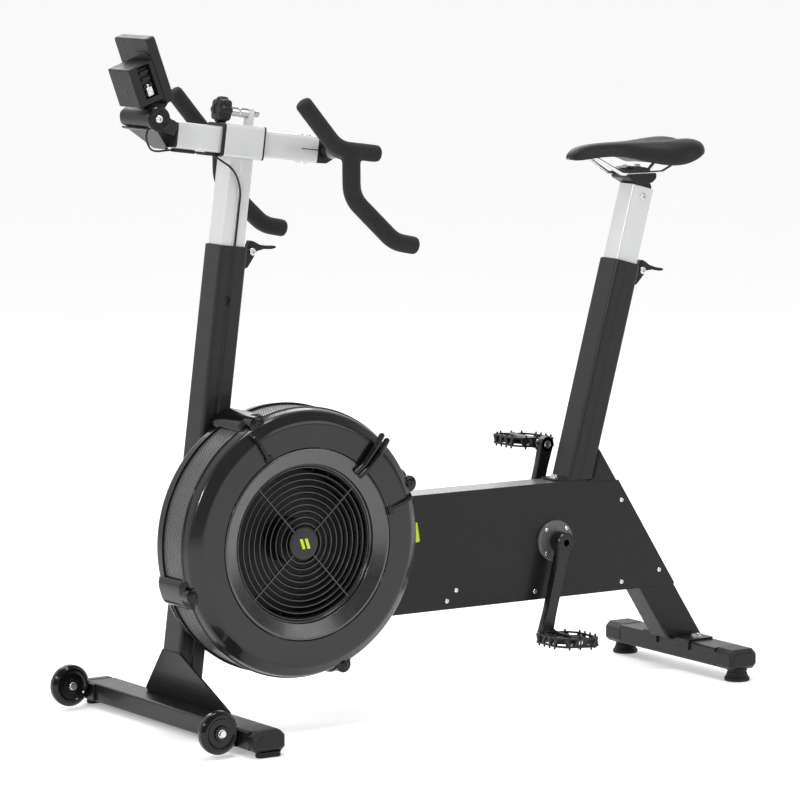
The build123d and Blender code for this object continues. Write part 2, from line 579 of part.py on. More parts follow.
# ------------------------------------------------------------------ monitor
def make_monitor():
    a = radians(MONITOR_LEAN)
    screen = Plane(origin=(MONITOR_TOP[0], 0, MONITOR_TOP[1]), x_dir=(cos(a), 0, -sin(a)),
                   z_dir=(sin(a), 0, cos(a)))
    case = block(-MONITOR_THICK, 0, -MONITOR_HALF, MONITOR_HALF, -MONITOR_LONG, 0)
    case = rounded(case, Axis.X, 4)
    glass_y, glass_top, glass_low = 40.0, -14.0, -78.0
    glass = block(-MONITOR_THICK, -MONITOR_THICK + 2, -glass_y, glass_y, glass_low, glass_top)
    keys = [block(-MONITOR_THICK - 2, -MONITOR_THICK, y - 8, y + 8, -104, -90) for y in (-36, -12, 12, 36)]
    save("monitor_case", screen * (case - glass), *[screen * k for k in keys])
    save("monitor_screen", screen * glass)
    box = rounded(block(0, 50, -15.5, MONITOR_HALF, -106, -37), Axis.X, 3)
    save("battery_box", screen * box)

    x, z = PIVOT
    barrel = bar_y(x, z, PIVOT_R, -46, 46)
    neck = screen * block(-14, 20, -40, 40, -MONITOR_LONG - 9, -MONITOR_LONG)
    save("monitor_mount", barrel + neck - bar_y(x, z, 5 + RUN_CLEARANCE, -60, 60))
    save("tilt_knob", bar_y(x, z, 5, -52, 58) + bar_y(x, z, 8, 58, 61), ring_y(x, z, PIVOT_R, 5, 52, 58))

    top = to_world(FRONT, STEM_FRONT, STEM_HIGH - 3)
    low = to_world(FRONT, STEM_FRONT, STEM_LOW)
    ear = plate_y([top, (x + 6, z + 12), (x + 14, z), (x + 8, z - 12), low], 46.3, 50)
    ear += bar_y(x, z, 16, 46.3, 52)
    ear -= bar_y(x, z, 5, 40, 60)
    ears = ear + mirror(ear, Plane.XZ)
    ears += FRONT * block(STEM_FRONT, STEM_FRONT + 4, -50, 50, STEM_LOW, STEM_HIGH - 3)
    save("monitor_bracket", ears)


# ------------------------------------------------------------------ sensor lead
def lead(points, bends):
    route = FilletPolyline(*points, radius=bends)
    return sweep(Plane(origin=route @ 0, z_dir=route % 0) * Circle(1.8), path=route)


def make_lead():
    under = STEM_LOW - 3.0
    x, z = PIVOT
    out = (0.534, -0.846)
    reach = PIVOT_R + 0.1
    hang = [(x + reach * out[0], 40, z + reach * out[1]),
            (x + 28 * out[0], 40, z + 28 * out[1]), (858, 36, 1026),
            (841, 26, 1010)]
    route = hang + [world(110, 12, under), world(64, 12, under), world(40, 16, under)]
    save("upper_lead", lead(route, 10))
    low = [world(40, 16, under), world(31, 17.5, under), world(17, 24, under - 9), world(-8, 38, under - 22),
           world(-29, 28, under - 54), world(-30, 24.9, under - 90), world(-30, 24.9, POST_TOP)]
    save("lower_lead", lead(low, 14))


def world(x, y, z):
    point = FRONT.from_local_coords((x, y, z))
    return point.X, point.Y, point.Z


# ------------------------------------------------------------------ seat
def make_seat():
    gap = (SEAT_DEPTH - INNER_DEPTH) / 2
    top = SEAT_POST_TOP
    post = rounded(block(-SEAT_DEPTH + gap, -gap, -INNER_HALF, INNER_HALF, SEAT_TOP - 230, top), Axis.Z, 4)
    post -= block(-SEAT_DEPTH + gap + 3, -gap - 3, -INNER_HALF + 3, INNER_HALF - 3, 0, top + 1)
    save("seat_post", SEAT * post)
    x, z = SADDLE_PIVOT
    head = SEAT * block(-SEAT_DEPTH - 4, 4, -25, 25, top, top + 30)
    head -= block(-400, 0, -60, 60, z + 2.5, 1200)
    head -= bar_y(x, z, 7.3, -30, 30)
    save("seat_post_head", head)

    half = 26.0
    lower = bar_y(x, z, 7, -24, 24) + block(x - half, x + half, -28, 28, z + 6.5, RAIL_Z)
    upper = block(x - half, x + half, -28, 28, RAIL_Z, RAIL_Z + 8)
    for y in (-RAIL_HALF_GAP, RAIL_HALF_GAP):
        groove = Pos(x, y, RAIL_Z) * Rot(0, 90, 0) * Cylinder(RAIL_R + RUN_CLEARANCE, 80)
        lower -= groove
        upper -= groove
    save("rail_clamp", lower, upper, *[bar_z(x + dx, 0, 4, RAIL_Z + 8, RAIL_Z + 17) for dx in (-14, 14)])

    rails = []
    for y in (-RAIL_HALF_GAP, RAIL_HALF_GAP):
        route = FilletPolyline((-96, y * 0.6, 961), (-150, y, RAIL_Z), (-246, y, RAIL_Z),
                               (-268, y * 1.3, 957), radius=9)
        rails.append(sweep(Plane(origin=route @ 0, z_dir=route % 0) * Circle(RAIL_R), path=route))
    save("saddle_rails", *rails)
    sections = [(-46, 12, 975, 966), (-70, 19, 988, 963), (-110, 21, 992, 963), (-160, 28, 991.5, 961),
                (-205, 56, 991, 958), (-245, 78, 993, 952), (-285, 82, 994, 953), (-310, 62, 989, 960),
                (-321, 34, 981, 967)]
    faces = []
    for sx, half_y, high, low in sections:
        faces.append(Pos(sx, 0, (high + low) / 2) * Rot(0, 90, 0) * Ellipse((high - low) / 2, half_y))
    whole = loft(faces, ruled=True)
    base = whole & block(-400, 0, -100, 100, 900, 967)
    pad = whole & block(-400, 0, -100, 100, 967, 1100)
    for r in rails:
        base -= r
    save("saddle_pad", pad)
    save("saddle_base", base.solids().sort_by(SortBy.VOLUME)[-1])


# ------------------------------------------------------------------ clamp levers
def make_lever(name, plane, back, top):
    """A cam lever behind a post: pivot block on the post, pin, and a thumb lever."""
    pivot_x, pivot_z = back - 20, top - 6
    ears = [block(back - 27, back - 13, y - 1.5, y + 1.5, pivot_z - 20, pivot_z + 6) for y in (-9.5, 9.5)]
    mount = block(back - 27, back, -11, 11, pivot_z - 26, pivot_z - 14) + ears[0] + ears[1]
    turned_pin = Pos(pivot_x, 0, pivot_z) * Rot(90, 0, 0)
    mount -= turned_pin * Cylinder(3, 40)
    head = Pos(pivot_x, 12.5, pivot_z) * Rot(90, 0, 0) * Cylinder(5.5, 3)
    BRACKETS.append(plane * mount)
    SCREWS.append(plane * (turned_pin * Cylinder(3, 22) + head))
    cam = turned_pin * Cylinder(8, 14)
    arm = plate_y([(pivot_x - 3, pivot_z + 6), (pivot_x + 3, pivot_z + 19), (pivot_x - 14, pivot_z + 13),
                   (pivot_x - 30, pivot_z + 12), (pivot_x - 50, pivot_z + 14), (pivot_x - 47, pivot_z + 7),
                   (pivot_x - 28, pivot_z + 3), (pivot_x - 5, pivot_z - 3)], -7, 7)
    lever = cam + arm - turned_pin * Cylinder(3 + RUN_CLEARANCE, 40)
    save(f"{name}_clamp_lever", plane * lever)


os.makedirs("parts", exist_ok=True)
make_base()
make_wheels()
make_front_post()
make_frame()
make_drive()
make_cranks()
make_housing()
make_flywheel()
make_column()
make_stem()
make_monitor()
make_lead()
make_seat()
make_lever("front", FRONT, -POST_DEPTH, POST_TOP)
make_lever("rear", SEAT, -SEAT_DEPTH, SEAT_TOP)
save("frame_brackets", *BRACKETS)
save("frame_screws", *SCREWS)
save("post_liners", *LINERS)
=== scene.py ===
import json
from itertools import product
from math import atan2, cos, hypot, pi, radians, sin, tan

import bmesh
import bpy
from mathutils import Matrix, Vector


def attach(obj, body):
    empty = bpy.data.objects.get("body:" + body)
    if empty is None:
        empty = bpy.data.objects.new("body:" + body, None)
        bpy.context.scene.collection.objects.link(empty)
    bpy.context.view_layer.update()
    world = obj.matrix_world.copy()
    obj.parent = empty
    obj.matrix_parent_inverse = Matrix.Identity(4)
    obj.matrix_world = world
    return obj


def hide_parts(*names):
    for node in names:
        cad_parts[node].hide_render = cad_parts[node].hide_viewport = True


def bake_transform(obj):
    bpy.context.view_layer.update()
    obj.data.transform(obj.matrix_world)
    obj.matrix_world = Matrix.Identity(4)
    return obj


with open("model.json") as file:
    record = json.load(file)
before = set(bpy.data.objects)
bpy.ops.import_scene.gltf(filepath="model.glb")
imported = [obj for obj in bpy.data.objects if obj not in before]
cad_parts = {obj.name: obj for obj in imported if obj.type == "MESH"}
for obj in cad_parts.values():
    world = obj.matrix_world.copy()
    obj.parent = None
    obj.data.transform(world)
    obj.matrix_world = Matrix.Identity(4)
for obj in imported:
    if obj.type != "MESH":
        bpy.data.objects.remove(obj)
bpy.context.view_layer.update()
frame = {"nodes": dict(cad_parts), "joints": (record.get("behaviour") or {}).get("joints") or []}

# Lengths are millimetres measured from the crank axis, as in the CAD model, until piece() places
# them in the frame, in metres. The joints of the frame give the axes that everything hangs on.
MM = 0.001
JOINT = {joint["name"]: Vector(joint["pos_m"]) for joint in frame["joints"] if "pos_m" in joint}
CRANK_X = JOINT["crank_spin"].x
WORLD = Matrix.Translation((CRANK_X, 0, 0)) @ Matrix.Scale(MM, 4)


def place_of(joint):
    """A hinge's X and Z in millimetres from the crank axis."""
    spot = JOINT[joint]
    return (spot.x - CRANK_X) / MM, spot.z / MM


CRANK = place_of("crank_spin")
FAN = place_of("flywheel_spin")
PIVOT = place_of("monitor_tilt")
SADDLE_PIVOT = place_of("saddle_tilt")
LEFT_PEDAL = place_of("left_pedal_spin")
RIGHT_PEDAL = place_of("right_pedal_spin")
WHEEL = place_of("left_wheel_roll")
WHEEL_Y = JOINT["left_wheel_roll"].y / MM

FRONT_LEAN = radians(7.27)
FRONT_FOOT = (797.2, 138.3)
SEAT_LEAN = radians(15.1)
SEAT_FOOT = (-32.4, 380.0)
LEG_LEAN = radians(32.61)
LEG_TOP = (-107.6, 427.6)
LEG_DEPTH = 68.0
MONITOR_LEAN = radians(20)
MONITOR_TOP = (870.0, 1203.7)
DISPLAY_LONG = 118.0
POST_DEPTH, POST_HALF, POST_TOP = 55.0, 29.0, 711.4
GUSSET_LEAN, GUSSET_HALF, GUSSET_THICK = radians(-20), 151.0, 4.0
SEAT_DEPTH, SEAT_TOP, SEAT_POST_TOP = 54.0, 412.0, 550.0
INNER_DEPTH, INNER_HALF = 48.5, 22.5
RAIL_LOW, RAIL_HIGH, RAIL_HALF, PANEL_OUT = 163.0, 376.0, 27.0, 30.0
FRONT_BAR = (748.0, 809.0, 10.3, 44.3)
FRONT_BAR_HALF, FRONT_CAP = 304.0, 26.0
REAR_BAR = (-340.0, -280.0, 24.3, 60.0)
REAR_BAR_HALF, REAR_CAP = 201.0, 54.0
REAR_FOOT = (-312.0, 174.0)
FOOT_OUT = 72.0
WHEEL_R, WHEEL_HALF = 37.5, 12.0
ARM_IN, ARM_OUT = 52.0, 67.5
FAN_R, FAR_FACE, MESH_IN, MESH_OUT, NEAR_FACE = 235.0, 30.0, 66.0, 128.0, 160.0
DAMPER_R, GRILLE_R, DAMPER_ANGLE = 167.0, 138.0, 48.6
CLIP_ANGLES = (22, 114, 198, 290)
STEM_LOW, STEM_HIGH, STEM_HALF, STEM_BACK, STEM_FRONT = 870.0, 916.0, 23.0, -180.0, 121.0
STEM_MIDDLE = (STEM_LOW + STEM_HIGH) / 2
SLEEVE_LOW, SLEEVE_HIGH, SLEEVE_BACK, SLEEVE_FRONT = 864.8, 922.5, -64.0, 14.0
KNOB_Z = SLEEVE_HIGH + 22
BAR_HALF, GRIP_R, BAR_R, BAR_JOIN = 215.0, 15.2, 11.0, (570.0, 1012.0)
HORN_PATH = [(656.6, 1096.3), (588.5, 1016.8), (498.5, 1005.0)]
DROP_PATH = [(560.2, 1008.0), (559.5, 933.1), (472.4, 853.0), (427.6, 848.6)]
RAIL_Z, RAIL_R, RAIL_GAP = 933.5, 3.5, 22.0


def axes(x, z, across, along):
    """Places a piece drawn with local X along `across` and local Z along `along`."""
    turn = Matrix(((across[0], 0, along[0], x), (0, 1, 0, 0), (across[1], 0, along[1], z), (0, 0, 0, 1)))
    return WORLD @ turn


def leaning(foot, lean):
    """Places a piece drawn upright at a foot, as X and Z, that leans back by an angle."""
    return axes(*foot, (cos(lean), sin(lean)), (-sin(lean), cos(lean)))


FRONT = leaning(FRONT_FOOT, FRONT_LEAN)
SEAT = leaning(SEAT_FOOT, SEAT_LEAN)
SCREEN = axes(*MONITOR_TOP, (cos(MONITOR_LEAN), -sin(MONITOR_LEAN)), (sin(MONITOR_LEAN), cos(MONITOR_LEAN)))


def in_world(place, x, y, z):
    """A local point of a leaning piece, back in millimetres from the crank axis."""
    return WORLD.inverted() @ place @ Vector((x, y, z))


# ------------------------------------------------------------------ camera, floor and light
def build_studio():
    """The camera of a distant viewer, a pale floor that runs to the horizon, and four soft lamps."""
    scene = bpy.context.scene
    camera = bpy.data.objects.new("camera", bpy.data.cameras.new("camera"))
    scene.collection.objects.link(camera)
    camera.data.sensor_width = 36
    camera.data.lens = 197.606
    camera.location = (4.32439, 6.50319, 1.51033)
    yaw, pitch = radians(-33.388), radians(7.0546)
    view = Vector((sin(yaw) * cos(pitch), -cos(yaw) * cos(pitch), -sin(pitch)))
    camera.rotation_euler = view.to_track_quat("-Z", "Y").to_euler()
    scene.camera = camera

    floor_shape = bmesh.new()
    bmesh.ops.create_grid(floor_shape, x_segments=1, y_segments=1, size=40)
    mesh = bpy.data.meshes.new("floor")
    floor_shape.to_mesh(mesh)
    floor_shape.free()
    floor = bpy.data.objects.new("floor", mesh)
    scene.collection.objects.link(floor)
    floor.data.materials.append(finish("studio_floor", (0.9, 0.9, 0.9), 0.8, mottle=(3, 0.004), glow=0.34))

    build_sky(scene)
    for name, spot, size, power in (("key", (4.6, 2.4, 2.9), 0.8, 95), ("fill", (-3.0, 5.0, 2.6), 3.0, 55),
                                    ("back", (-1.0, -3.4, 3.4), 3.0, 70), ("top", (0.3, 0.6, 4.2), 1.6, 75)):
        lamp = bpy.data.lights.new(name, "AREA")
        lamp.size = size
        lamp.energy = power
        light = bpy.data.objects.new(name, lamp)
        light.location = spot
        light.rotation_euler = (Vector((0.1, 0, 0.5)) - Vector(spot)).to_track_quat("-Z", "Y").to_euler()
        scene.collection.objects.link(light)
    scene.view_settings.view_transform = "Standard"


def build_sky(scene):
    """A white studio that is a little dimmer on the camera's side, so that black surfaces stay black."""
    world = bpy.data.worlds.new("studio")
    scene.world = world
    world.use_nodes = True
    tree = world.node_tree
    way = tree.nodes.new("ShaderNodeTexCoord")
    parts = tree.nodes.new("ShaderNodeSeparateXYZ")
    level = tree.nodes.new("ShaderNodeMapRange")
    level.interpolation_type = "SMOOTHSTEP"
    level.inputs["From Min"].default_value = -0.35
    level.inputs["From Max"].default_value = 0.45
    level.inputs["To Min"].default_value = 1.02
    level.inputs["To Max"].default_value = 0.3
    tree.links.new(way.outputs["Generated"], parts.inputs[0])
    tree.links.new(parts.outputs["Y"], level.inputs["Value"])
    tree.links.new(level.outputs["Result"], tree.nodes["Background"].inputs[1])
    tree.nodes["Background"].inputs[0].default_value = (1, 1, 1, 1)


# ------------------------------------------------------------------ materials
def finish(name, colour, rough, metal=0.0, mottle=(40, 0.06), grain=None, cells=None, coat=0.0, sheen=0.0,
           brushed=None, wear=0.0, specular=0.5, glow=0.0):
    """A procedural material. mottle is (scale, amount) of colour change, grain and cells are (scale,
    strength, depth) of noise and cell relief, brushed is the axis that fine scratches follow."""
    material = bpy.data.materials.new(name)
    material.use_nodes = True
    tree = material.node_tree
    nodes, link = tree.nodes, tree.links.new
    shader = nodes["Principled BSDF"]
    shader.inputs["Metallic"].default_value = metal
    shader.inputs["Coat Weight"].default_value = coat
    shader.inputs["Coat Roughness"].default_value = 0.08
    shader.inputs["Sheen Weight"].default_value = sheen
    shader.inputs["Sheen Roughness"].default_value = 0.4
    shader.inputs["Specular IOR Level"].default_value = specular
    shader.inputs["Emission Color"].default_value = (*colour, 1)
    shader.inputs["Emission Strength"].default_value = glow
    where = nodes.new("ShaderNodeTexCoord")

    def noise(scale, detail, source=None):
        node = nodes.new("ShaderNodeTexNoise")
        node.inputs["Scale"].default_value = scale
        node.inputs["Detail"].default_value = detail
        link(source or where.outputs["Object"], node.inputs["Vector"])
        return node.outputs["Fac"]

    def spread(source, low, high):
        node = nodes.new("ShaderNodeMapRange")
        node.inputs["From Min"].default_value = 0.3
        node.inputs["From Max"].default_value = 0.7
        node.inputs["To Min"].default_value = low
        node.inputs["To Max"].default_value = high
        link(source, node.inputs["Value"])
        return node.outputs["Result"]

    def blend(fac, first, second):
        node = nodes.new("ShaderNodeMix")
        node.data_type = "RGBA"
        link(fac, node.inputs["Factor"])
        for socket, value in ((6, first), (7, second)):
            if isinstance(value, tuple):
                node.inputs[socket].default_value = (*value, 1)
            else:
                link(value, node.inputs[socket])
        return node.outputs[2]

    lighter = tuple(c * (1 + mottle[1]) + 0.01 * mottle[1] for c in colour)
    darker = tuple(c * (1 - mottle[1]) for c in colour)
    tone = blend(spread(noise(mottle[0], 4), 0, 1), darker, lighter)
    if wear:
        edge = nodes.new("ShaderNodeNewGeometry")
        ramp = nodes.new("ShaderNodeMapRange")
        ramp.inputs["From Min"].default_value = 0.52
        ramp.inputs["From Max"].default_value = 0.62
        ramp.inputs["To Max"].default_value = wear
        link(edge.outputs["Pointiness"], ramp.inputs["Value"])
        tone = blend(ramp.outputs["Result"], tone, tuple(c * 2.2 + 0.03 for c in colour))
    link(tone, shader.inputs["Base Color"])
    streaks = None
    if brushed:
        stretch = nodes.new("ShaderNodeMapping")
        stretch.inputs["Scale"].default_value = brushed
        link(where.outputs["Object"], stretch.inputs["Vector"])
        streaks = noise(60, 3, stretch.outputs["Vector"])
    rough_source = streaks or noise(mottle[0] * 2.5, 3)
    link(spread(rough_source, max(rough - 0.05, 0.03), rough + 0.05), shader.inputs["Roughness"])

    normal = None
    scratches = (0, 0.08, 0.0002) if streaks else None
    for kind, relief in (("grain", grain), ("cells", cells), ("streaks", scratches)):
        if not relief:
            continue
        bump = nodes.new("ShaderNodeBump")
        bump.inputs["Strength"].default_value = relief[1]
        bump.inputs["Distance"].default_value = relief[2]
        if kind == "cells":
            cell = nodes.new("ShaderNodeTexVoronoi")
            cell.inputs["Scale"].default_value = relief[0]
            link(where.outputs["Object"], cell.inputs["Vector"])
            height = cell.outputs["Distance"]
        else:
            height = streaks if kind == "streaks" else noise(relief[0], 5)
        link(height, bump.inputs["Height"])
        if normal:
            link(normal, bump.inputs["Normal"])
        normal = bump.outputs["Normal"]
    if normal:
        link(normal, shader.inputs["Normal"])
    return material


LOOKS = {
    "frame_black": finish("powder_coat", (0.0075, 0.0075, 0.008), 0.38, grain=(900, 0.16, 0.0002), wear=0.25,
                          specular=0.22, coat=0.1),
    "rail_silver": finish("rail_finish", (0.34, 0.34, 0.345), 0.3, metal=0.8, grain=(1500, 0.08, 0.0001)),
    "post_silver": finish("anodised_aluminium", (0.62, 0.625, 0.63), 0.34, metal=0.35,
                          grain=(1800, 0.10, 0.0001), mottle=(25, 0.015)),
    "housing_black": finish("gloss_moulding", (0.003, 0.003, 0.0033), 0.2, coat=0.25, mottle=(18, 0.08),
                            grain=(700, 0.04, 0.0001), specular=0.2),
    "housing_satin": finish("satin_moulding", (0.006, 0.006, 0.0064), 0.3, mottle=(20, 0.08),
                            grain=(1400, 0.05, 0.0001), specular=0.2, coat=0.6),
    "disc_satin": finish("disc_moulding", (0.003, 0.003, 0.0033), 0.26, coat=0.3, mottle=(18, 0.08),
                         grain=(1100, 0.05, 0.0001), specular=1.0),
    "plastic_black": finish("textured_moulding", (0.009, 0.009, 0.0095), 0.42, grain=(700, 0.22, 0.0003),
                            specular=0.3),
    "mesh_grey": finish("perforated_steel", (0.11, 0.11, 0.114), 0.4, metal=0.4, grain=(900, 0.12, 0.0001)),
    "fan_grey": finish("coated_fan", (0.002, 0.002, 0.002), 0.6, metal=0.0, grain=(600, 0.1, 0.0002)),
    "grille_black": finish("grille_moulding", (0.012, 0.012, 0.0125), 0.24, mottle=(30, 0.1),
                           grain=(900, 0.10, 0.0001), specular=0.7, coat=0.3),
    "badge_grey": finish("badge_face", (0.025, 0.025, 0.027), 0.4, grain=(900, 0.15, 0.0001), specular=0.3),
    "lime": finish("lime_accent", (0.52, 0.68, 0.02), 0.4, mottle=(60, 0.04), grain=(900, 0.05, 0.0001)),
    "steel": finish("zinc_plated_steel", (0.66, 0.66, 0.67), 0.24, metal=1.0, mottle=(200, 0.05),
                    brushed=(40, 900, 900)),
    "crank_black": finish("coated_forging", (0.006, 0.006, 0.0065), 0.27, metal=0.1,
                          grain=(350, 0.08, 0.0004), wear=0.25, specular=0.4),
    "cover_grey": finish("painted_disc", (0.12, 0.12, 0.125), 0.4, metal=0.3, grain=(800, 0.15, 0.0002),
                         wear=0.2, specular=0.3),
    "pedal_black": finish("cast_pedal", (0.006, 0.006, 0.0065), 0.32, metal=0.2, grain=(420, 0.25, 0.0004),
                          wear=0.4, specular=0.4),
    "belt_rubber": finish("belt_rubber", (0.01, 0.01, 0.01), 0.7, grain=(500, 0.3, 0.0003), specular=0.3),
    "rubber": finish("foot_rubber", (0.009, 0.009, 0.0095), 0.6, grain=(500, 0.3, 0.0003), mottle=(30, 0.12),
                     specular=0.3),
    "wheel_black": finish("polyurethane", (0.003, 0.003, 0.003), 0.14, coat=0.3, mottle=(40, 0.1),
                          grain=(700, 0.03, 0.0001), specular=0.2),
    "foam": finish("closed_cell_foam", (0.0125, 0.0125, 0.0132), 0.75, cells=(1400, 0.35, 0.0003),
                   grain=(300, 0.25, 0.0006), sheen=0.08, mottle=(60, 0.12), specular=0.25),
    "saddle_cover": finish("matt_vinyl", (0.012, 0.012, 0.0127), 0.45, cells=(1100, 0.28, 0.0002),
                           grain=(90, 0.08, 0.0008), mottle=(30, 0.08), specular=0.3),
    "screen": finish("monitor_window", (0.06, 0.08, 0.075), 0.08, coat=0.6, mottle=(6, 0.06)),
    "lead_black": finish("lead_jacket", (0.007, 0.007, 0.0075), 0.4, grain=(700, 0.15, 0.0002),
                         specular=0.35),
}


# ------------------------------------------------------------------ mesh helpers
def flat(x, z):
    return Vector((x, 0, z))


def corner_arc(before, corner, after, radius, steps):
    """Points of the round that replaces a corner."""
    back, ahead = before - corner, after - corner
    half = back.angle(ahead) / 2
    if radius <= 0 or half > pi / 2 - 0.01:
        return [corner]
    reach = min(radius / tan(half), 0.48 * back.length, 0.48 * ahead.length)
    back.normalize()
    ahead.normalize()
    centre = corner + (back + ahead).normalized() * reach / cos(half)
    start = corner + back * reach - centre
    end = corner + ahead * reach - centre
    turn = start.angle(end)
    return [centre + (start * sin(turn * (1 - i / steps)) + end * sin(turn * i / steps)) / sin(turn)
            for i in range(steps + 1)]


def rounded(points, radii, steps=4):
    """A closed outline of X and Z pairs with its corners rounded."""
    corners = [flat(*p) for p in points]
    radii = radii if isinstance(radii, (list, tuple)) else [radii] * len(corners)
    outline = []
    for i, corner in enumerate(corners):
        outline += corner_arc(corners[i - 1], corner, corners[(i + 1) % len(corners)], radii[i], steps)
    return [(p.x, p.z) for p in outline]


def rectangle(x0, x1, z0, z1, radius, steps=5):
    """A rounded rectangle, in whichever two axes the caller draws."""
    return rounded([(x0, z0), (x1, z0), (x1, z1), (x0, z1)], radius, steps)


def bent(points, radius, steps=8):
    """An open 3-D route with its corners rounded."""
    points = [Vector(p) for p in points]
    radii = radius if isinstance(radius, (list, tuple)) else [radius] * (len(points) - 2)
    route = [points[0]]
    for i in range(1, len(points) - 1):
        route += corner_arc(points[i - 1], points[i], points[i + 1], radii[i - 1], steps)
    return route + [points[-1]]


def at_y(route, y):
    """A flat X and Z route, moved out to a Y plane."""
    return [(x, y, z) for x, z in route]


def loft(bm, rings, caps=True, loop=False):
    """Joins rings of equally many points with quads."""
    rows = [[bm.verts.new(p) for p in ring] for ring in rings]
    pairs = list(zip(rows, rows[1:] + rows[:1])) if loop else list(zip(rows, rows[1:]))
    count = len(rows[0])
    for low, high in pairs:
        for i in range(count):
            j = (i + 1) % count
            bm.faces.new((low[i], low[j], high[j], high[i]))
    if caps and not loop:
        bm.faces.new(rows[0][::-1])
        bm.faces.new(rows[-1])


def prism(bm, outline, y0, y1):
    """An X and Z outline made solid between two Y planes."""
    loft(bm, [[(x, y, z) for x, z in outline] for y in (y0, y1)])


def slab(bm, outline, z0, z1):
    """An X and Y outline made solid between two heights."""
    loft(bm, [[(x, y, z) for x, y in outline] for z in (z0, z1)])


def block(bm, x0, x1, y0, y1, z0, z1):
    """A plain box, for a plate or tab whose edges piece() bevels."""
    prism(bm, [(x0, z0), (x1, z0), (x1, z1), (x0, z1)], y0, y1)


def turned(bm, profile, centre, steps=96, axis="Y"):
    """A closed profile of (radius, distance along the axis) turned about a line through centre."""
    rings = []
    for i in range(steps):
        a = 2 * pi * i / steps
        if axis == "Y":
            rings.append([(centre[0] + r * cos(a), y, centre[1] + r * sin(a)) for r, y in profile])
        elif axis == "Z":
            rings.append([(centre[0] + r * cos(a), centre[1] + r * sin(a), z) for r, z in profile])
        else:
            rings.append([(x, centre[0] + r * cos(a), centre[1] + r * sin(a)) for r, x in profile])
    loft(bm, rings, loop=True)


def tube(bm, route, radius, sides=24, dome=(0, 0), squash=1.0):
    """A round bar along a route. dome is how far each rounded end reaches past the route."""
    route = [Vector(p) for p in route]
    first = (route[1] - route[0]).normalized()
    last = (route[-1] - route[-2]).normalized()
    spots = [(p, 1.0) for p in route]
    for end, way, length in ((0, -first, dome[0]), (-1, last, dome[1])):
        if not length:
            continue
        turns = [radians(d) for d in (20, 40, 58, 74, 86)]
        arc = [(route[end] + way * length * sin(a), cos(a)) for a in turns]
        spots = arc[::-1] + spots if end == 0 else spots + arc
    side = first.orthogonal().normalized() if abs(first.y) > 0.9 else Vector((0, 1, 0))
    rings = []
    for i, (spot, scale) in enumerate(spots):
        ahead = spots[min(i + 1, len(spots) - 1)][0] - spots[max(i - 1, 0)][0]
        ahead.normalize()
        side = (side - ahead * side.dot(ahead)).normalized()
        other = ahead.cross(side)
        ring = []
        for k in range(sides):
            a = 2 * pi * k / sides
            ring.append(spot + (side * cos(a) * squash + other * sin(a)) * radius * scale)
        rings.append(ring)
    loft(bm, rings)


def screw_head(bm, spot, way, rings):
    """Lofts (radius, height, sixness) rings that face `way`. sixness is 0 for round, 1 for a hexagon."""
    way = Vector(way).normalized()
    side = way.orthogonal().normalized()
    other = way.cross(side)
    spot = Vector(spot)
    rows = []
    for radius, height, sixness in rings:
        row = []
        for k in range(24):
            a = 2 * pi * k / 24
            flat_side = cos(pi / 6) / cos((a % (pi / 3)) - pi / 6)
            reach = radius * (1 - sixness + sixness * flat_side)
            row.append(spot + (side * cos(a) + other * sin(a)) * reach + way * height)
        rows.append(row)
    loft(bm, rows)


def button_screw(bm, spot, way, radius, height, socket=0.5):
    """A domed screw head with a hexagonal socket."""
    inner = radius * socket
    screw_head(bm, spot, way, [(radius, 0, 0), (radius, height * 0.35, 0), (radius * 0.93, height * 0.7, 0),
                               (radius * 0.78, height * 0.95, 0), (radius * (socket + 0.1), height, 0),
                               (inner, height * 0.98, 1), (inner, height * 0.35, 1)])


def hex_bolt(bm, spot, way, radius, height, washer=0.0):
    """A hexagon head with a chamfered crown, and a washer under it if one is asked for."""
    if washer:
        screw_head(bm, spot, way, [(washer, 0, 0), (washer, 0.8, 0), (washer * 0.95, 1.2, 0)])
    screw_head(bm, spot, way, [(radius, washer and 1.1, 1), (radius, height * 0.85, 1),
                               (radius * 0.9, height, 0.1)])


def around_fan(angle, radius=0.0, y=0.0):
    """Places a piece drawn above the fan's axis at an angle measured from rearwards towards up."""
    turn = Matrix.Rotation(radians(angle - 90), 4, "Y")
    return Matrix.Translation((FAN[0], y, FAN[1])) @ turn @ Matrix.Translation((0, 0, radius))


def moved(bm, matrix, mark):
    """Moves the vertices that were added to bm since it had `mark` of them."""
    bmesh.ops.transform(bm, matrix=matrix, verts=list(bm.verts)[mark:])


def mirrored(bm):
    """Adds the mirror image across the bike's middle plane."""
    twin = bmesh.ops.duplicate(bm, geom=bm.verts[:] + bm.edges[:] + bm.faces[:])["geom"]
    bmesh.ops.scale(bm, vec=(1, -1, 1), verts=[g for g in twin if isinstance(g, bmesh.types.BMVert)])


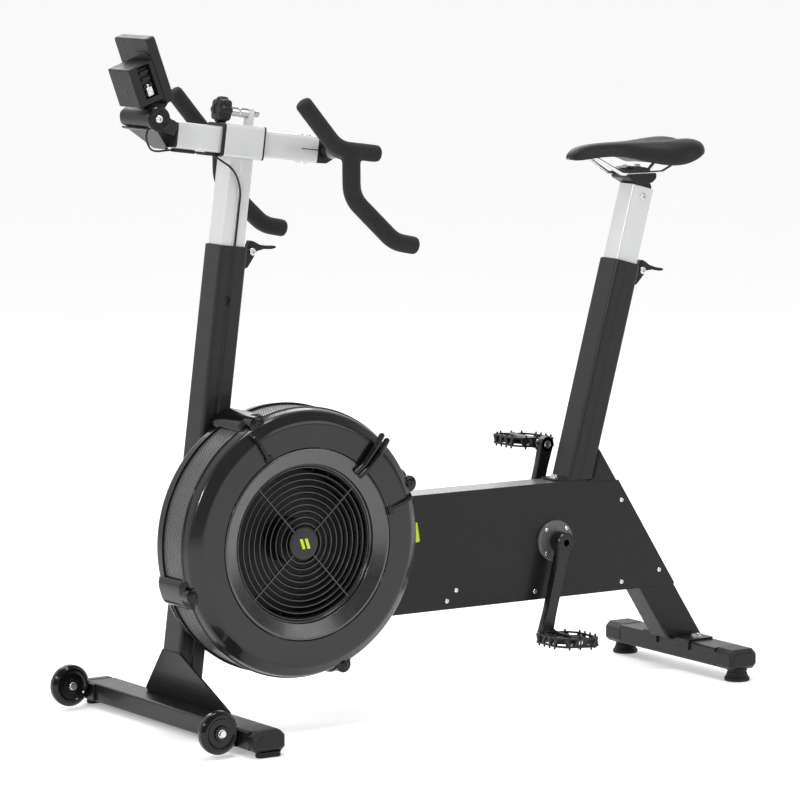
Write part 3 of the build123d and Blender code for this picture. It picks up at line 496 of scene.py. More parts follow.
def piece(name, bm, look, body, place=WORLD, replaces=(), bevel=0.0, segments=3, angle=35, subdivide=0):
    """Makes the object: placed in the frame, edges bevelled, shaded, and riding on its body."""
    bmesh.ops.remove_doubles(bm, verts=bm.verts, dist=0.001)
    bmesh.ops.recalc_face_normals(bm, faces=bm.faces)
    mesh = bpy.data.meshes.new(name)
    bm.to_mesh(mesh)
    bm.free()
    mesh.transform(place)
    mesh.materials.append(LOOKS[look])
    thing = bpy.data.objects.new(name, mesh)
    bpy.context.scene.collection.objects.link(thing)
    if bevel:
        edge = thing.modifiers.new("bevel", "BEVEL")
        edge.width = bevel * MM
        edge.segments = segments
        edge.limit_method = "ANGLE"
        edge.angle_limit = radians(angle)
        edge.miter_outer = "MITER_ARC"
        edge.use_clamp_overlap = True
    if subdivide:
        thing.modifiers.new("rounding", "SUBSURF").levels = subdivide
        thing.modifiers["rounding"].render_levels = subdivide
    settle(thing, angle if not bevel else 50)
    if body:
        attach(thing, body)
    if replaces:
        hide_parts(*replaces)
    return thing


def settle(thing, angle):
    """Applies the modifiers, then smooths every edge flatter than an angle."""
    if thing.modifiers:
        bpy.context.view_layer.update()
        solid = bpy.data.meshes.new_from_object(thing.evaluated_get(bpy.context.evaluated_depsgraph_get()))
        old = thing.data
        thing.modifiers.clear()
        thing.data = solid
        solid.name = old.name
        bpy.data.meshes.remove(old)
    shape = bmesh.new()
    shape.from_mesh(thing.data)
    for face in shape.faces:
        face.smooth = True
    for edge in shape.edges:
        if len(edge.link_faces) == 2:
            edge.smooth = edge.calc_face_angle(0) < radians(angle)
    shape.to_mesh(thing.data)
    shape.free()
    weighted = thing.modifiers.new("flat_faces", "WEIGHTED_NORMAL")
    weighted.keep_sharp = True


def remeshed(thing, voxel, smooth, steps):
    """Fuses overlapping tubes of one moulding into a single smooth skin."""
    thing.modifiers.clear()
    remesh = thing.modifiers.new("fuse", "REMESH")
    remesh.mode = "VOXEL"
    remesh.voxel_size = voxel * MM
    soften = thing.modifiers.new("soften", "SMOOTH")
    soften.factor = smooth
    soften.iterations = steps
    settle(thing, 80)
    thing.modifiers.clear()


# ------------------------------------------------------------------ base
def end_cap(bm, limits, half, length, chamfer, flip):
    """A faceted plug: the tube's outline, drawn in at its outer end."""
    x0, x1, z0, z1 = limits
    outline = rectangle(x0 - 1, x1 + 1, z0 - 1, z1 + 1, [7, 7, 9, 9], 1)
    mid_x, mid_z = (x0 + x1) / 2, (z0 + z1) / 2

    def ring(y, inset):
        wide = 1 - inset / ((x1 - x0) / 2)
        tall = 1 - inset / ((z1 - z0) / 2)
        return [(mid_x + (x - mid_x) * wide, flip * y, mid_z + (z - mid_z) * tall) for x, z in outline]

    inner = half - length
    loft(bm, [ring(inner, 1.0), ring(inner + 1.2, 0), ring(half - chamfer, 0),
              ring(half - 1.5, chamfer * 0.55), ring(half, chamfer * 0.55 + 2)])


def build_crossbars():
    """Two rectangular tubes across the bike, and the moulded caps that plug their ends."""
    for name, limits, half, length in (("front", FRONT_BAR, FRONT_BAR_HALF, FRONT_CAP),
                                       ("rear", REAR_BAR, REAR_BAR_HALF, REAR_CAP)):
        bm = bmesh.new()
        prism(bm, rectangle(*limits, 5), -half + length, half - length)
        piece(f"{name}_crossbar_tube", bm, "frame_black", "frame", replaces=(f"{name}_crossbar",), angle=50)

    bm = bmesh.new()
    for flip in (1, -1):
        end_cap(bm, FRONT_BAR, FRONT_BAR_HALF, FRONT_CAP, 9, flip)
        end_cap(bm, REAR_BAR, REAR_BAR_HALF, REAR_CAP, 9, flip)
    piece("moulded_end_caps", bm, "plastic_black", "frame", replaces=("end_caps",), bevel=0.7, segments=2,
          angle=20)


def build_feet():
    """Ribbed pads under the front bar's ends, and turned rubber feet under the rear bar."""
    bm = bmesh.new()
    x0, x1, z0 = FRONT_BAR[0] + 6, FRONT_BAR[1] - 8, FRONT_BAR[2] - 1
    for i in range(4):
        low, high = z0 * i / 4, z0 * (i + 1) / 4
        grow = 0 if i % 2 else -0.8
        outline = rounded([(x0 - grow, 281 - grow), (x1 + grow, 281 - grow), (x1 + grow, 299 + grow),
                           (x0 - grow, 299 + grow)], 8, 5)
        slab(bm, outline, low, high)
    profile = rounded([(0.5, 0), (22.5, 0), (23.5, 1.5), (23.5, 6), (20.5, 9), (20.5, 10.5), (19, 12.5),
                       (19, 15.5), (17.5, 16.5), (17.5, 18.5), (19, 19.5), (19, 23.3), (0.5, 23.3)],
                      [0, 1, 1, 2, 1, 0.5, 1, 1, 0.4, 0.4, 1, 0, 0], 3)
    turned(bm, profile, REAR_FOOT, 64, "Z")
    mirrored(bm)
    piece("rubber_feet", bm, "rubber", "frame", replaces=("floor_feet",), angle=40)


def build_wheels():
    """Each wheel has a rounded tyre, a dished face and a hub, and an arm on the crossbar holds it."""
    x, z = WHEEL
    half = WHEEL_HALF
    for side, y in (("left", WHEEL_Y), ("right", -WHEEL_Y)):
        bm = bmesh.new()
        profile = rounded([(6, -half), (12, -half), (14, -half + 4), (24, -half + 4), (27, -half + 1),
                           (31, -half + 1), (WHEEL_R, -5), (WHEEL_R, 5), (31, half - 1), (27, half - 1),
                           (24, half - 4), (14, half - 4), (12, half), (6, half)],
                          [0.5, 1, 1, 2, 1.5, 3, 5, 5, 3, 1.5, 2, 1, 1, 0.5], 5)
        turned(bm, [(r, y + along) for r, along in profile], WHEEL, 96)
        piece(f"{side}_wheel_tyre", bm, "wheel_black", f"{side}_wheel", replaces=(f"{side}_wheel",), angle=50)

    bm = bmesh.new()
    rim = FRONT_BAR[1]
    for side, middle in (("left", WHEEL_Y), ("right", -WHEEL_Y)):
        arm = middle - half - 2
        base = arm - 5 if side == "right" else arm - 31
        outline = [(rim, 13), (x + 6, z - 15), (x + 15, z), (x + 6, z + 13), (rim, 43)]
        prism(bm, rounded(outline, [0, 12, 12, 12, 0]), arm - 5, arm)
        prism(bm, rectangle(rim, rim + 5, 13, 43, [0, 1, 1, 0], 4), base, base + 31)
    piece("wheel_brackets", bm, "frame_black", "frame", bevel=0.8)


# ------------------------------------------------------------------ posts, rail and panels
def leg_edge(z, depth=0.0):
    return LEG_TOP[0] - (LEG_TOP[1] - z) * tan(LEG_LEAN) + depth / cos(LEG_LEAN)


def seat_edge(z, depth=0.0):
    return SEAT_FOOT[0] - (z - SEAT_FOOT[1]) * tan(SEAT_LEAN) - depth / cos(SEAT_LEAN)


def post_edge(z, depth=0.0):
    return FRONT_FOOT[0] - (z - FRONT_FOOT[1]) * tan(FRONT_LEAN) - depth / cos(FRONT_LEAN)


def post_section(depth, half, corner, groove):
    """The outline of an extruded post, as X and Y, with a shallow groove down each side."""
    mid = -depth * 0.46
    points = [(-depth, -half), (mid - groove, -half), (mid - groove * 0.6, -half + groove * 0.45),
              (mid + groove * 0.6, -half + groove * 0.45), (mid + groove, -half), (0, -half), (0, half),
              (mid + groove, half), (mid + groove * 0.6, half - groove * 0.45),
              (mid - groove * 0.6, half - groove * 0.45), (mid - groove, half), (-depth, half)]
    radii = [corner, 0.4, 0.4, 0.4, 0.4, corner, corner, 0.4, 0.4, 0.4, 0.4, corner]
    return rounded(points, radii, 5)


def open_post(bm, section, depth, half, cut, top, lean, foot_z, wall=2.2):
    """A post that stands on a level face at height `cut` and is open at the top."""
    level = [(cut - foot_z - x * sin(lean)) / cos(lean) for x, y in section]
    low = [(x, y, z) for (x, y), z in zip(section, level)]
    middle = -depth / 2

    def inner(x, y, z):
        return (middle + (x - middle) * (1 - 2 * wall / depth), y * (1 - wall / half), z)

    high = [(x, y, top) for x, y in section]
    loft(bm, [low, high, [inner(*p) for p in high], [inner(x, y, top - 60) for x, y, z in high]])


def mouth_liner(bm, depth, half, top):
    """The plastic bush in a post's mouth, with a lip that dips in the middle of each side."""
    gap = (depth - INNER_DEPTH) / 2
    outer = rounded([(-depth + 1.6, -half + 1.6), (-1.6, -half + 1.6), (-1.6, half - 1.6),
                     (-depth + 1.6, half - 1.6)], 5, 6)
    bore = rounded([(-depth + gap - 0.3, -INNER_HALF - 0.3), (-gap + 0.3, -INNER_HALF - 0.3),
                    (-gap + 0.3, INNER_HALF + 0.3), (-depth + gap - 0.3, INNER_HALF + 0.3)], 4, 6)

    def lip(points, base, rise):
        around = [atan2(y / half, (x + depth / 2) / (depth / 2)) for x, y in points]
        return [(x, y, base + rise * abs(cos(2 * a))) for (x, y), a in zip(points, around)]

    loft(bm, [lip(outer, top - 58, 0), lip(outer, top + 0.6, 1.8), lip(bore, top + 1.2, 2.0),
              lip(bore, top - 58, 0)], loop=True)


def build_posts():
    """The two leaning posts, and the bush in the mouth of each."""
    bm = bmesh.new()
    section = post_section(POST_DEPTH, POST_HALF, 6.5, 4.5)
    open_post(bm, section, POST_DEPTH, POST_HALF, FRONT_BAR[3], POST_TOP, FRONT_LEAN, FRONT_FOOT[1])
    # The gusset plate's slant cuts the post's foot, 2 behind the plate's front face.
    slant = FRONT_LEAN - GUSSET_LEAN
    ahead = Vector((cos(slant), 0, -sin(slant)))
    cut = bmesh.ops.bisect_plane(bm, geom=bm.verts[:] + bm.edges[:] + bm.faces[:], plane_co=ahead * -2,
                                 plane_no=ahead, clear_outer=True)["geom_cut"]
    bmesh.ops.holes_fill(bm, edges=[edge for edge in cut if isinstance(edge, bmesh.types.BMEdge)])
    piece("front_post_tube", bm, "frame_black", "frame", FRONT, ("front_post",), angle=40)
    bm = bmesh.new()
    section = post_section(SEAT_DEPTH, POST_HALF, 6.5, 2.4)
    open_post(bm, section, SEAT_DEPTH, POST_HALF, RAIL_HIGH, SEAT_TOP, SEAT_LEAN, SEAT_FOOT[1])
    piece("seat_tube_body", bm, "frame_black", "frame", SEAT, ("seat_tube",), angle=40)
    for name, place, depth, top, nodes in (("front", FRONT, POST_DEPTH, POST_TOP, ("post_liners",)),
                                           ("seat", SEAT, SEAT_DEPTH, SEAT_TOP, ())):
        bm = bmesh.new()
        mouth_liner(bm, depth, POST_HALF, top)
        piece(f"{name}_mouth_liner", bm, "plastic_black", "frame", place, nodes, angle=40)


def build_leg():
    """The rear leg, cut to the seat tube above and to the rear crossbar below."""
    bm = bmesh.new()
    floor, tip = REAR_BAR[3], LEG_TOP[1] + 4
    outline = [(seat_edge(tip, SEAT_DEPTH), tip), (seat_edge(RAIL_HIGH, SEAT_DEPTH), RAIL_HIGH),
               (leg_edge(RAIL_HIGH, LEG_DEPTH), RAIL_HIGH), (leg_edge(floor, LEG_DEPTH), floor),
               (leg_edge(floor), floor)]
    prism(bm, outline, -POST_HALF, POST_HALF)
    piece("rear_leg_tube", bm, "frame_black", "frame", replaces=("rear_leg",), bevel=5, segments=4)


def build_grommet():
    """An oval grommet in the front post's left side, under the mouth."""
    bm = bmesh.new()
    oval = [(-0.46 * POST_DEPTH + 4.2 * cos(a), 8.5 * sin(a)) for a in [2 * pi * k / 32 for k in range(32)]]
    rings = [[(x * k + 0.46 * POST_DEPTH * (k - 1), y, z * k + POST_TOP - 94) for x, z in oval]
             for k, y in ((1.0, POST_HALF - 4), (1.0, POST_HALF + 1), (0.82, POST_HALF + 1.6),
                          (0.6, POST_HALF + 0.6), (0.6, POST_HALF - 4))]
    loft(bm, rings)
    piece("side_grommet", bm, "rubber", "frame", FRONT, angle=40)


def build_panels():
    """Side panels, each a bent sheet with a soft edge all round, and the plain lime tab on the left."""
    cut = RAIL_HIGH - 6
    panel = [(leg_edge(cut), cut), (-78, cut), (-68, RAIL_HIGH), (post_edge(RAIL_HIGH, 60), RAIL_HIGH),
             (post_edge(RAIL_LOW, 60), RAIL_LOW), (leg_edge(RAIL_LOW), RAIL_LOW)]
    for side, flip in (("left", 1), ("right", -1)):
        bm = bmesh.new()
        prism(bm, rounded(panel, [2, 8, 4, 3, 3, 3]), flip * RAIL_HALF, flip * PANEL_OUT)
        piece(f"{side}_panel_sheet", bm, "frame_black", "frame", replaces=(f"{side}_side_panel",), bevel=1.0)
    bm = bmesh.new()
    tab = [(296, 292), (336, 292), (336, 328), (302, 328)]
    prism(bm, rounded(tab, [3, 1, 1, 3]), PANEL_OUT - 0.2, PANEL_OUT + 0.4)
    piece("lime_tab", bm, "lime", "frame")


def build_gusset():
    """A flat plate closes the slanted cut of the post's foot and spreads out to the crossbar's top."""
    bm = bmesh.new()
    drop = (FRONT_FOOT[1] - FRONT_BAR[3]) / cos(GUSSET_LEAN) + 0.8
    plate = [(-POST_HALF, 0), (-GUSSET_HALF, -drop), (GUSSET_HALF, -drop), (POST_HALF, 0)]
    along_x(bm, rounded(plate, [3, 5, 5, 3]), -GUSSET_THICK, 0)
    piece("gusset_plate", bm, "frame_black", "frame", leaning(FRONT_FOOT, GUSSET_LEAN), ("post_gusset",),
          bevel=1.0)


def build_brackets():
    """The bolted tab in front of the seat tube's foot, and the two feet beside the leg."""
    bm = bmesh.new()
    front_x, floor = seat_edge(RAIL_HIGH), REAR_BAR[3]
    slab(bm, rectangle(front_x - 2, front_x + 26, -24, 24, [0, 7, 7, 0], 4), RAIL_HIGH, RAIL_HIGH + 4)
    rear, front = REAR_BAR[:2]
    for flip in (1, -1):
        low_y, high_y = sorted((flip * RAIL_HALF, flip * FOOT_OUT))
        slab(bm, rectangle(rear + 4, front + 4, low_y, high_y, 5, 4), floor, floor + 4)
        block(bm, front + 0.3, front + 4, low_y, high_y, floor - 16, floor + 1)
    piece("bolted_feet", bm, "frame_black", "frame", replaces=("frame_brackets",), bevel=0.8)


def build_screws():
    """Every zinc screw and bolt of the frame: panels, crank discs, wheels, seat tube and rear feet."""
    bm = bmesh.new()
    rear = [(-150.5, 332), (-238, 194), (-151.6, 179), (43.8, 179), (218, 197), (238, 179)]
    front = [(430, 197), (560, 179), (690, 197), (690, 340)]
    for x, z in rear + front:
        button_screw(bm, (x, -PANEL_OUT, z), (0, -1, 0), 4.5, 2.2)
        if (x, z) in rear:
            button_screw(bm, (x, PANEL_OUT, z), (0, 1, 0), 4.5, 2.2)
    for i, k, flip in product((1, -1), repeat=3):
        spot = (22 * i, flip * (PANEL_OUT + 5.6), CRANK[1] + 22 * k)
        button_screw(bm, spot, (0, flip, 0), 4.2, 2.4)
    for middle in (WHEEL_Y, -WHEEL_Y):
        face = middle + WHEEL_HALF
        hex_bolt(bm, (WHEEL[0], face, WHEEL[1]), (0, 1, 0), 6.2, 5, washer=7.5)
        tube(bm, [(WHEEL[0], middle - WHEEL_HALF - 2, WHEEL[1]), (WHEEL[0], face, WHEEL[1])], 4, 16)
        hex_bolt(bm, (WHEEL[0], middle - WHEEL_HALF - 7, WHEEL[1]), (0, -1, 0), 7, 5)
    hex_bolt(bm, (seat_edge(RAIL_HIGH) + 12, 0, RAIL_HIGH + 4), (0, 0, 1), 6.5, 6, washer=8.5)
    for y in (50, -50):
        hex_bolt(bm, ((REAR_BAR[0] + REAR_BAR[1]) / 2, y, REAR_BAR[3] + 4), (0, 0, 1), 8, 5.5, washer=10.5)
    piece("zinc_screws", bm, "steel", "frame", replaces=("frame_screws",), angle=30)


# ------------------------------------------------------------------ cranks and pedals
def build_crank_discs():
    """The painted discs round the crank axle on both panels."""
    bm = bmesh.new()
    face = PANEL_OUT
    profile = [(13, face), (38, face), (38, face + 4.4), (36, face + 6), (17, face + 6), (16, face + 5),
               (13, face + 5)]
    turned(bm, rounded(profile, [0, 0, 2, 1, 0.4, 0.4, 0.4], 4), CRANK, 96)
    mirrored(bm)
    piece("crank_discs", bm, "cover_grey", "frame", replaces=("crank_covers",), angle=30)


def build_cranks():
    """Two forged arms, half a turn apart, with their bolts and the pedals' axles."""
    bm = bmesh.new()
    steel = bmesh.new()
    lean = atan2(LEFT_PEDAL[0], CRANK[1] - LEFT_PEDAL[1])
    for flip, (px, pz) in ((1, LEFT_PEDAL), (-1, RIGHT_PEDAL)):
        long = hypot(px, CRANK[1] - pz)
        mark = len(bm.verts)
        # The arm, drawn hanging straight down: a hub, a waisted web and the pedal boss.
        arm = [(15.5, 14), (-15.5, 14), (-17.5, 0), (-13, -30), (-12, -130), (-14.5, -long),
               (-9, -long - 14), (9, -long - 14), (14.5, -long), (12, -130), (13, -30), (17.5, 0)]
        outline = rounded(arm, [12, 12, 8, 20, 20, 12, 8, 8, 12, 20, 20, 8], 4)
        y0, y1 = ARM_IN, ARM_OUT
        inner = [(x * 0.9, z) for x, z in outline]
        loft(bm, [[(x, y0, z) for x, z in inner], [(x, y0 + 2.5, z) for x, z in outline],
                  [(x, y1 - 3.5, z) for x, z in outline], [(x * 0.82, y1, z) for x, z in outline]])
        hub = [(12, y0 - 12), (17, y0 - 12), (19, y0 - 9), (19, y1 - 3), (16.5, y1 + 0.5), (10.5, y1 + 0.5),
               (10.5, y1 - 3), (0.2, y1 - 3), (0.2, y1 - 9), (12, y1 - 9)]
        turned(bm, rounded(hub, [0, 1, 2, 2, 1, 0.5, 0, 0, 0, 0], 3), (0, 0), 64)
        boss = [(0.2, y0), (13.5, y0), (14.8, y0 + 2), (14.8, y1 - 1.5), (12.8, y1 + 0.5), (0.2, y1 + 0.5)]
        turned(bm, rounded(boss, [0, 1, 1, 1, 1, 0], 3), (0, -long), 48)
        turn = -lean if flip > 0 else pi - lean
        swing = Matrix.Translation((0, 0, CRANK[1])) @ Matrix.Rotation(turn, 4, "Y")
        if flip < 0:
            swing = swing @ Matrix.Scale(-1, 4, (0, 1, 0))
        moved(bm, swing, mark)
        way = (0, flip, 0)
        hex_bolt(steel, (0, flip * (ARM_OUT - 3), CRANK[1]), way, 7, 3)
        button_screw(steel, (px, flip * (ARM_IN + 0.2), pz), (0, -flip, 0), 7, 1.2)
        tube(steel, [(px, flip * ARM_OUT, pz), (px, flip * 82, pz)], 7.5, 24)
        tube(steel, [(px, flip * 78, pz), (px, flip * 171, pz)], 5, 20)
    piece("forged_crank_arms", bm, "crank_black", "crank", replaces=("crank_arms",), angle=32)
    piece("crank_hardware", steel, "steel", "crank", angle=30)
    for side, spot, flip in (("left", LEFT_PEDAL, 1), ("right", RIGHT_PEDAL, -1)):
        build_pedal(side, spot, flip)


def build_pedal(side, spot, flip):
    """An open cast platform: two thin rims on struts, a barrel, three webs and threaded pins."""
    bm = bmesh.new()
    half, reach, thick, corner, wall = 47.5, 45.0, 9.0, 15.0, 6.5
    corners = [(half, reach - corner), (half, -reach + corner), (half - corner, -reach),
               (-half + corner, -reach)]
    outer = [(-x, -y) for x, y in corners] + corners
    ring_out = rounded(outer, 7, 4)
    ring_in = [(x * (half - wall) / half, y * (reach - wall) / reach) for x, y in ring_out]
    for low, high in ((-thick, -thick + 3.2), (thick - 3.2, thick)):
        rows = [(ring_out, low), (ring_out, high), (ring_in, high), (ring_in, low)]
        loft(bm, [[(x, y, z) for x, y in ring] for ring, z in rows], loop=True)
    # Slanted struts join the two rims and leave windows between them.
    spots = [(half - wall / 2, y) for y in (-27, -9, 9, 27)]
    spots += [(x, reach - wall / 2) for x in (-30, -10, 10, 30)]
    for number, (px, py) in enumerate(spots + [(-x, -y) for x, y in spots]):
        lean = 3.5 if number % 2 else -3.5
        side_on = abs(px) > half - wall
        foot = [(-3.4, -2.6), (3.4, -2.6), (3.4, 2.6), (-3.4, 2.6)]
        ends = []
        for z, slide in ((-thick + 1, -lean), (thick - 1, lean)):
            shifts = [(v, u + slide) if side_on else (u + slide, v) for u, v in foot]
            ends.append([(px + dx, py + dy, z) for dx, dy in shifts])
        loft(bm, ends)
    barrel = [(5.3, -44), (9, -44), (11.5, -38), (9.5, -20), (9.5, 20), (11.5, 38), (9, 44), (5.3, 44)]
    turned(bm, rounded(barrel, [0, 1, 3, 6, 6, 3, 1, 0], 4), (0, 0), 40)
    for y in (-20, 0, 20):
        for sign in (1, -1):
            web = [(sign * 8, -6), (sign * 42, -4), (sign * 42, 4), (sign * 8, 6)]
            prism(bm, web if sign > 0 else web[::-1], y - 2.4, y + 2.4)
    pins = [*product((-half + 3.2, half - 3.2), (-24, -8, 8, 24)),
            *product((-24, 0, 24), (-reach + 3.2, reach - 3.2))]
    for x, y in pins:
        tube(bm, [(x, y, -thick - 3.6), (x, y, thick + 3.6)], 1.9, 10, (0.8, 0.8))
    place = WORLD @ Matrix.Translation((spot[0], flip * 129, spot[1])) @ Matrix.Rotation(radians(-4), 4, "Y")
    piece(f"{side}_cage_pedal", bm, "pedal_black", f"{side}_pedal", place, (f"{side}_pedal",), bevel=0.5,
          segments=2)


# ------------------------------------------------------------------ fan and housing
def build_shells():
    """The closed far shell and the open near shell, both turned with a bead next to the mesh."""
    bm = bmesh.new()
    profile = [(24, FAR_FACE), (FAN_R - 18, FAR_FACE), (FAN_R, FAR_FACE + 12), (FAN_R, MESH_IN - 5),
               (FAN_R + 2.5, MESH_IN - 3), (FAN_R + 2.5, MESH_IN), (FAN_R - 4, MESH_IN),
               (FAN_R - 4, FAR_FACE + 14), (FAN_R - 20, FAR_FACE + 4), (24, FAR_FACE + 4)]
    turned(bm, rounded(profile, [0, 12, 12, 1, 1, 0.8, 0.8, 8, 8, 0], 5), FAN, 160)
    piece("far_shell", bm, "housing_black", "frame", replaces=("far_housing",), angle=40)

    bm = bmesh.new()
    lip = DAMPER_R + 1.5
    profile = [(lip, NEAR_FACE), (FAN_R - 22, NEAR_FACE + 0.5), (FAN_R - 3, NEAR_FACE - 12),
               (FAN_R, NEAR_FACE - 26), (FAN_R, MESH_OUT + 4), (FAN_R + 2.5, MESH_OUT + 3),
               (FAN_R + 2.5, MESH_OUT), (FAN_R - 5, MESH_OUT), (FAN_R - 5, NEAR_FACE - 24),
               (FAN_R - 24, NEAR_FACE - 5), (lip + 4, NEAR_FACE - 5), (lip + 4, NEAR_FACE - 12),
               (lip, NEAR_FACE - 12)]
    turned(bm, rounded(profile, [1.2, 16, 12, 10, 0.6, 0.8, 0.8, 0.8, 8, 8, 0, 0, 0], 6), FAN, 192)
    piece("near_shell", bm, "housing_satin", "frame", replaces=("near_housing",), angle=40)


def build_lever_stops():
    """Two ribs on the shell stop the damper lever: each is a thin fin that grows towards the rim."""
    bm = bmesh.new()
    for angle in (16, 118):
        mark = len(bm.verts)
        fin = [(DAMPER_R + 3, -1), (DAMPER_R + 12, 6), (FAN_R - 28, 8), (FAN_R - 12, 4), (FAN_R - 5, -10),
               (DAMPER_R + 3, -6)]
        outline = rounded([(h, r) for r, h in fin], [2, 5, 6, 6, 1, 1], 4)
        # The fin bows to one side as it nears the rim, and stands on a thick foot.
        bowed = [(6 * ((r - DAMPER_R) / 60) ** 2, NEAR_FACE + h, r) for h, r in outline]
        loft(bm, [[(x + side, y, z) for x, y, z in bowed] for side in (-3, 3)])
        block(bm, -9, 5, NEAR_FACE - 2, NEAR_FACE + 4.5, DAMPER_R + 3, DAMPER_R + 12)
        moved(bm, around_fan(angle), mark)
    piece("lever_stops", bm, "housing_black", "frame", bevel=1.0, segments=2)


def build_damper():
    """The dished ring that turns round the grille, and its forked lever."""
    bm = bmesh.new()
    profile = [(GRILLE_R + 1, NEAR_FACE - 14), (GRILLE_R + 1, NEAR_FACE - 9), (DAMPER_R - 4, NEAR_FACE + 0.8),
               (DAMPER_R, NEAR_FACE), (DAMPER_R, NEAR_FACE - 4), (GRILLE_R + 6, NEAR_FACE - 13)]
    turned(bm, rounded(profile, [0.6, 2, 2.5, 0.8, 0.5, 1], 4), FAN, 192)
    piece("damper_disc", bm, "disc_satin", "damper", replaces=("damper_ring",), angle=40)
    bm = bmesh.new()
    for x in (-7, 7):
        spots = [(x * 0.8, NEAR_FACE + 1, DAMPER_R - 14), (x * 0.8, NEAR_FACE + 8, DAMPER_R + 4),
                 (x, NEAR_FACE + 10, FAN_R - 30), (x, NEAR_FACE + 4, FAN_R - 2)]
        tube(bm, bent(spots, 16), 5.4, 20, (3, 5))
    block(bm, -7, 7, NEAR_FACE + 1.5, NEAR_FACE + 8, DAMPER_R + 2, FAN_R - 20)
    moved(bm, around_fan(DAMPER_ANGLE), 0)
    piece("damper_lever", bm, "housing_black", "damper", bevel=0.8, segments=2)


def build_band():
    """The steel band between the shells, with its staggered round holes cut through."""
    bm = bmesh.new()
    columns, rows, hole = 300, 13, 1.45
    step = (MESH_OUT - MESH_IN) / rows
    wide = 2 * pi * (FAN_R - 2) / columns

    def spot(u, v):
        a = 2 * pi * u / columns
        return FAN[0] + (FAN_R - 2) * cos(a), MESH_IN + v * step, FAN[1] + (FAN_R - 2) * sin(a)

    borders = [[bm.verts.new(spot(k / 2, j)) for k in range(2 * columns)] for j in range(rows + 1)]
    for j in range(rows):
        shift = j % 2
        sides = [bm.verts.new(spot(i + shift / 2, j + 0.5)) for i in range(columns)]
        for i in range(columns):
            left, right = sides[i], sides[(i + 1) % columns]
            k = 2 * i + shift
            low = [borders[j][(k + n) % (2 * columns)] for n in range(3)]
            high = [borders[j + 1][(k + n) % (2 * columns)] for n in range(3)]
            outer = [left, low[0], low[1], low[2], right, high[2], high[1], high[0]]
            ring = []
            for n in range(8):
                a = pi + n * pi / 4
                ring.append(bm.verts.new(spot(i + shift / 2 + 0.5 + hole * cos(a) / wide,
                                              j + 0.5 + hole * sin(a) / step)))
            for n in range(8):
                bm.faces.new((outer[n], outer[(n + 1) % 8], ring[(n + 1) % 8], ring[n]))
    band = piece("perforated_band", bm, "mesh_grey", "", angle=80)
    thick = band.modifiers.new("thickness", "SOLIDIFY")
    thick.thickness = 1.0 * MM
    thick.offset = 0
    settle(band, 60)
    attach(band, "frame")
    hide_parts("mesh_band")


def build_clips():
    """Four wide saddles that clamp the two shells together, each with a round boss and a screw."""
    bm = bmesh.new()
    screws = bmesh.new()
    for angle in CLIP_ANGLES:
        mark, screw_mark = len(bm.verts), len(screws.verts)
        start = POST_HALF if angle == 114 else MESH_IN - 18
        saddle = rounded([(start, FAN_R - 2), (start, FAN_R + 8), (start + 8, FAN_R + 12.5),
                          (MESH_OUT - 2, FAN_R + 12.5), (MESH_OUT + 7, FAN_R + 7), (MESH_OUT + 9, FAN_R - 3)],
                         [1, 6, 7, 8, 5, 1], 5)
        floor = FAN_R - 2
        rings = []
        for x, fall in ((-27, 0.15), (-24, 0.62), (-18, 0.88), (-9, 1.0), (9, 1.0), (18, 0.88), (24, 0.62),
                        (27, 0.15)):
            sag = x * x / (2 * FAN_R)
            rings.append([(x, y, floor - sag + (z - floor) * fall) for y, z in saddle])
        loft(bm, rings)
        tube(bm, [(0, MESH_OUT - 8, FAN_R - 1), (0, MESH_OUT + 20, FAN_R - 1)], 14.5, 32, (0, 2.5))
        button_screw(screws, (0, MESH_OUT + 22, FAN_R - 1), (0, 1, 0), 5.8, 2.6)
        moved(bm, around_fan(angle), mark)
        moved(screws, around_fan(angle), screw_mark)
    piece("shell_clips", bm, "housing_black", "frame", replaces=("housing_clips",), bevel=1.0, segments=3)
    piece("clip_screws", screws, "crank_black", "frame", angle=30)


def build_grille():
    """Ten slanted rings on four thin spokes round a plain centre disc."""
    bm = bmesh.new()
    y0, y1 = NEAR_FACE - 20, NEAR_FACE - 14.5
    for i in range(10):
        r = 34 + 10.9 * i
        turned(bm, rounded([(r - 2.6, y0), (r - 0.8, y0), (r + 2.0, y1), (r + 0.2, y1)], 0.5, 2), FAN, 128)
    rim = [(GRILLE_R - 3, y0), (GRILLE_R - 3, y1), (GRILLE_R - 1, y1 + 2), (GRILLE_R + 0.6, y1 + 2),
           (GRILLE_R + 0.6, NEAR_FACE - 16), (DAMPER_R + 5, NEAR_FACE - 16), (DAMPER_R + 5, y0)]
    turned(bm, rounded(rim, [0, 1, 1, 0.5, 0, 0, 0], 2), FAN, 160)
    turned(bm, [(12, y0), (28, y0), (28, y1 - 2), (12, y1 - 2)], FAN, 64)
    for angle in (42, 132, 222, 312):
        mark = len(bm.verts)
        block(bm, -0.9, 0.9, y0 + 1, y1 + 0.6, 24, GRILLE_R - 2)
        moved(bm, around_fan(angle), mark)
    piece("ring_grille", bm, "grille_black", "frame", replaces=("grille",), angle=40)
    bm = bmesh.new()
    disc = rounded([(0.3, y1 - 2), (27, y1 - 2), (29, y1 - 1), (28, y1 + 1.6), (22, y1 + 3), (0.3, y1 + 4)],
                   [0, 1, 1.5, 2, 12, 0], 4)
    turned(bm, disc, FAN, 96)
    piece("centre_disc", bm, "badge_grey", "frame", replaces=("grille_badge",), angle=40)
    bm = bmesh.new()
    for shift in (-5.0, 5.0):
        x, z = FAN[0] + shift, FAN[1]
        bar = [(x - 6, z - 9), (x, z - 9), (x + 6, z + 9), (x, z + 9)]
        prism(bm, rounded(bar, 1.2, 3), y1 + 3, y1 + 4.6)
    piece("lime_bars", bm, "lime", "frame", bevel=0.3, segments=2)


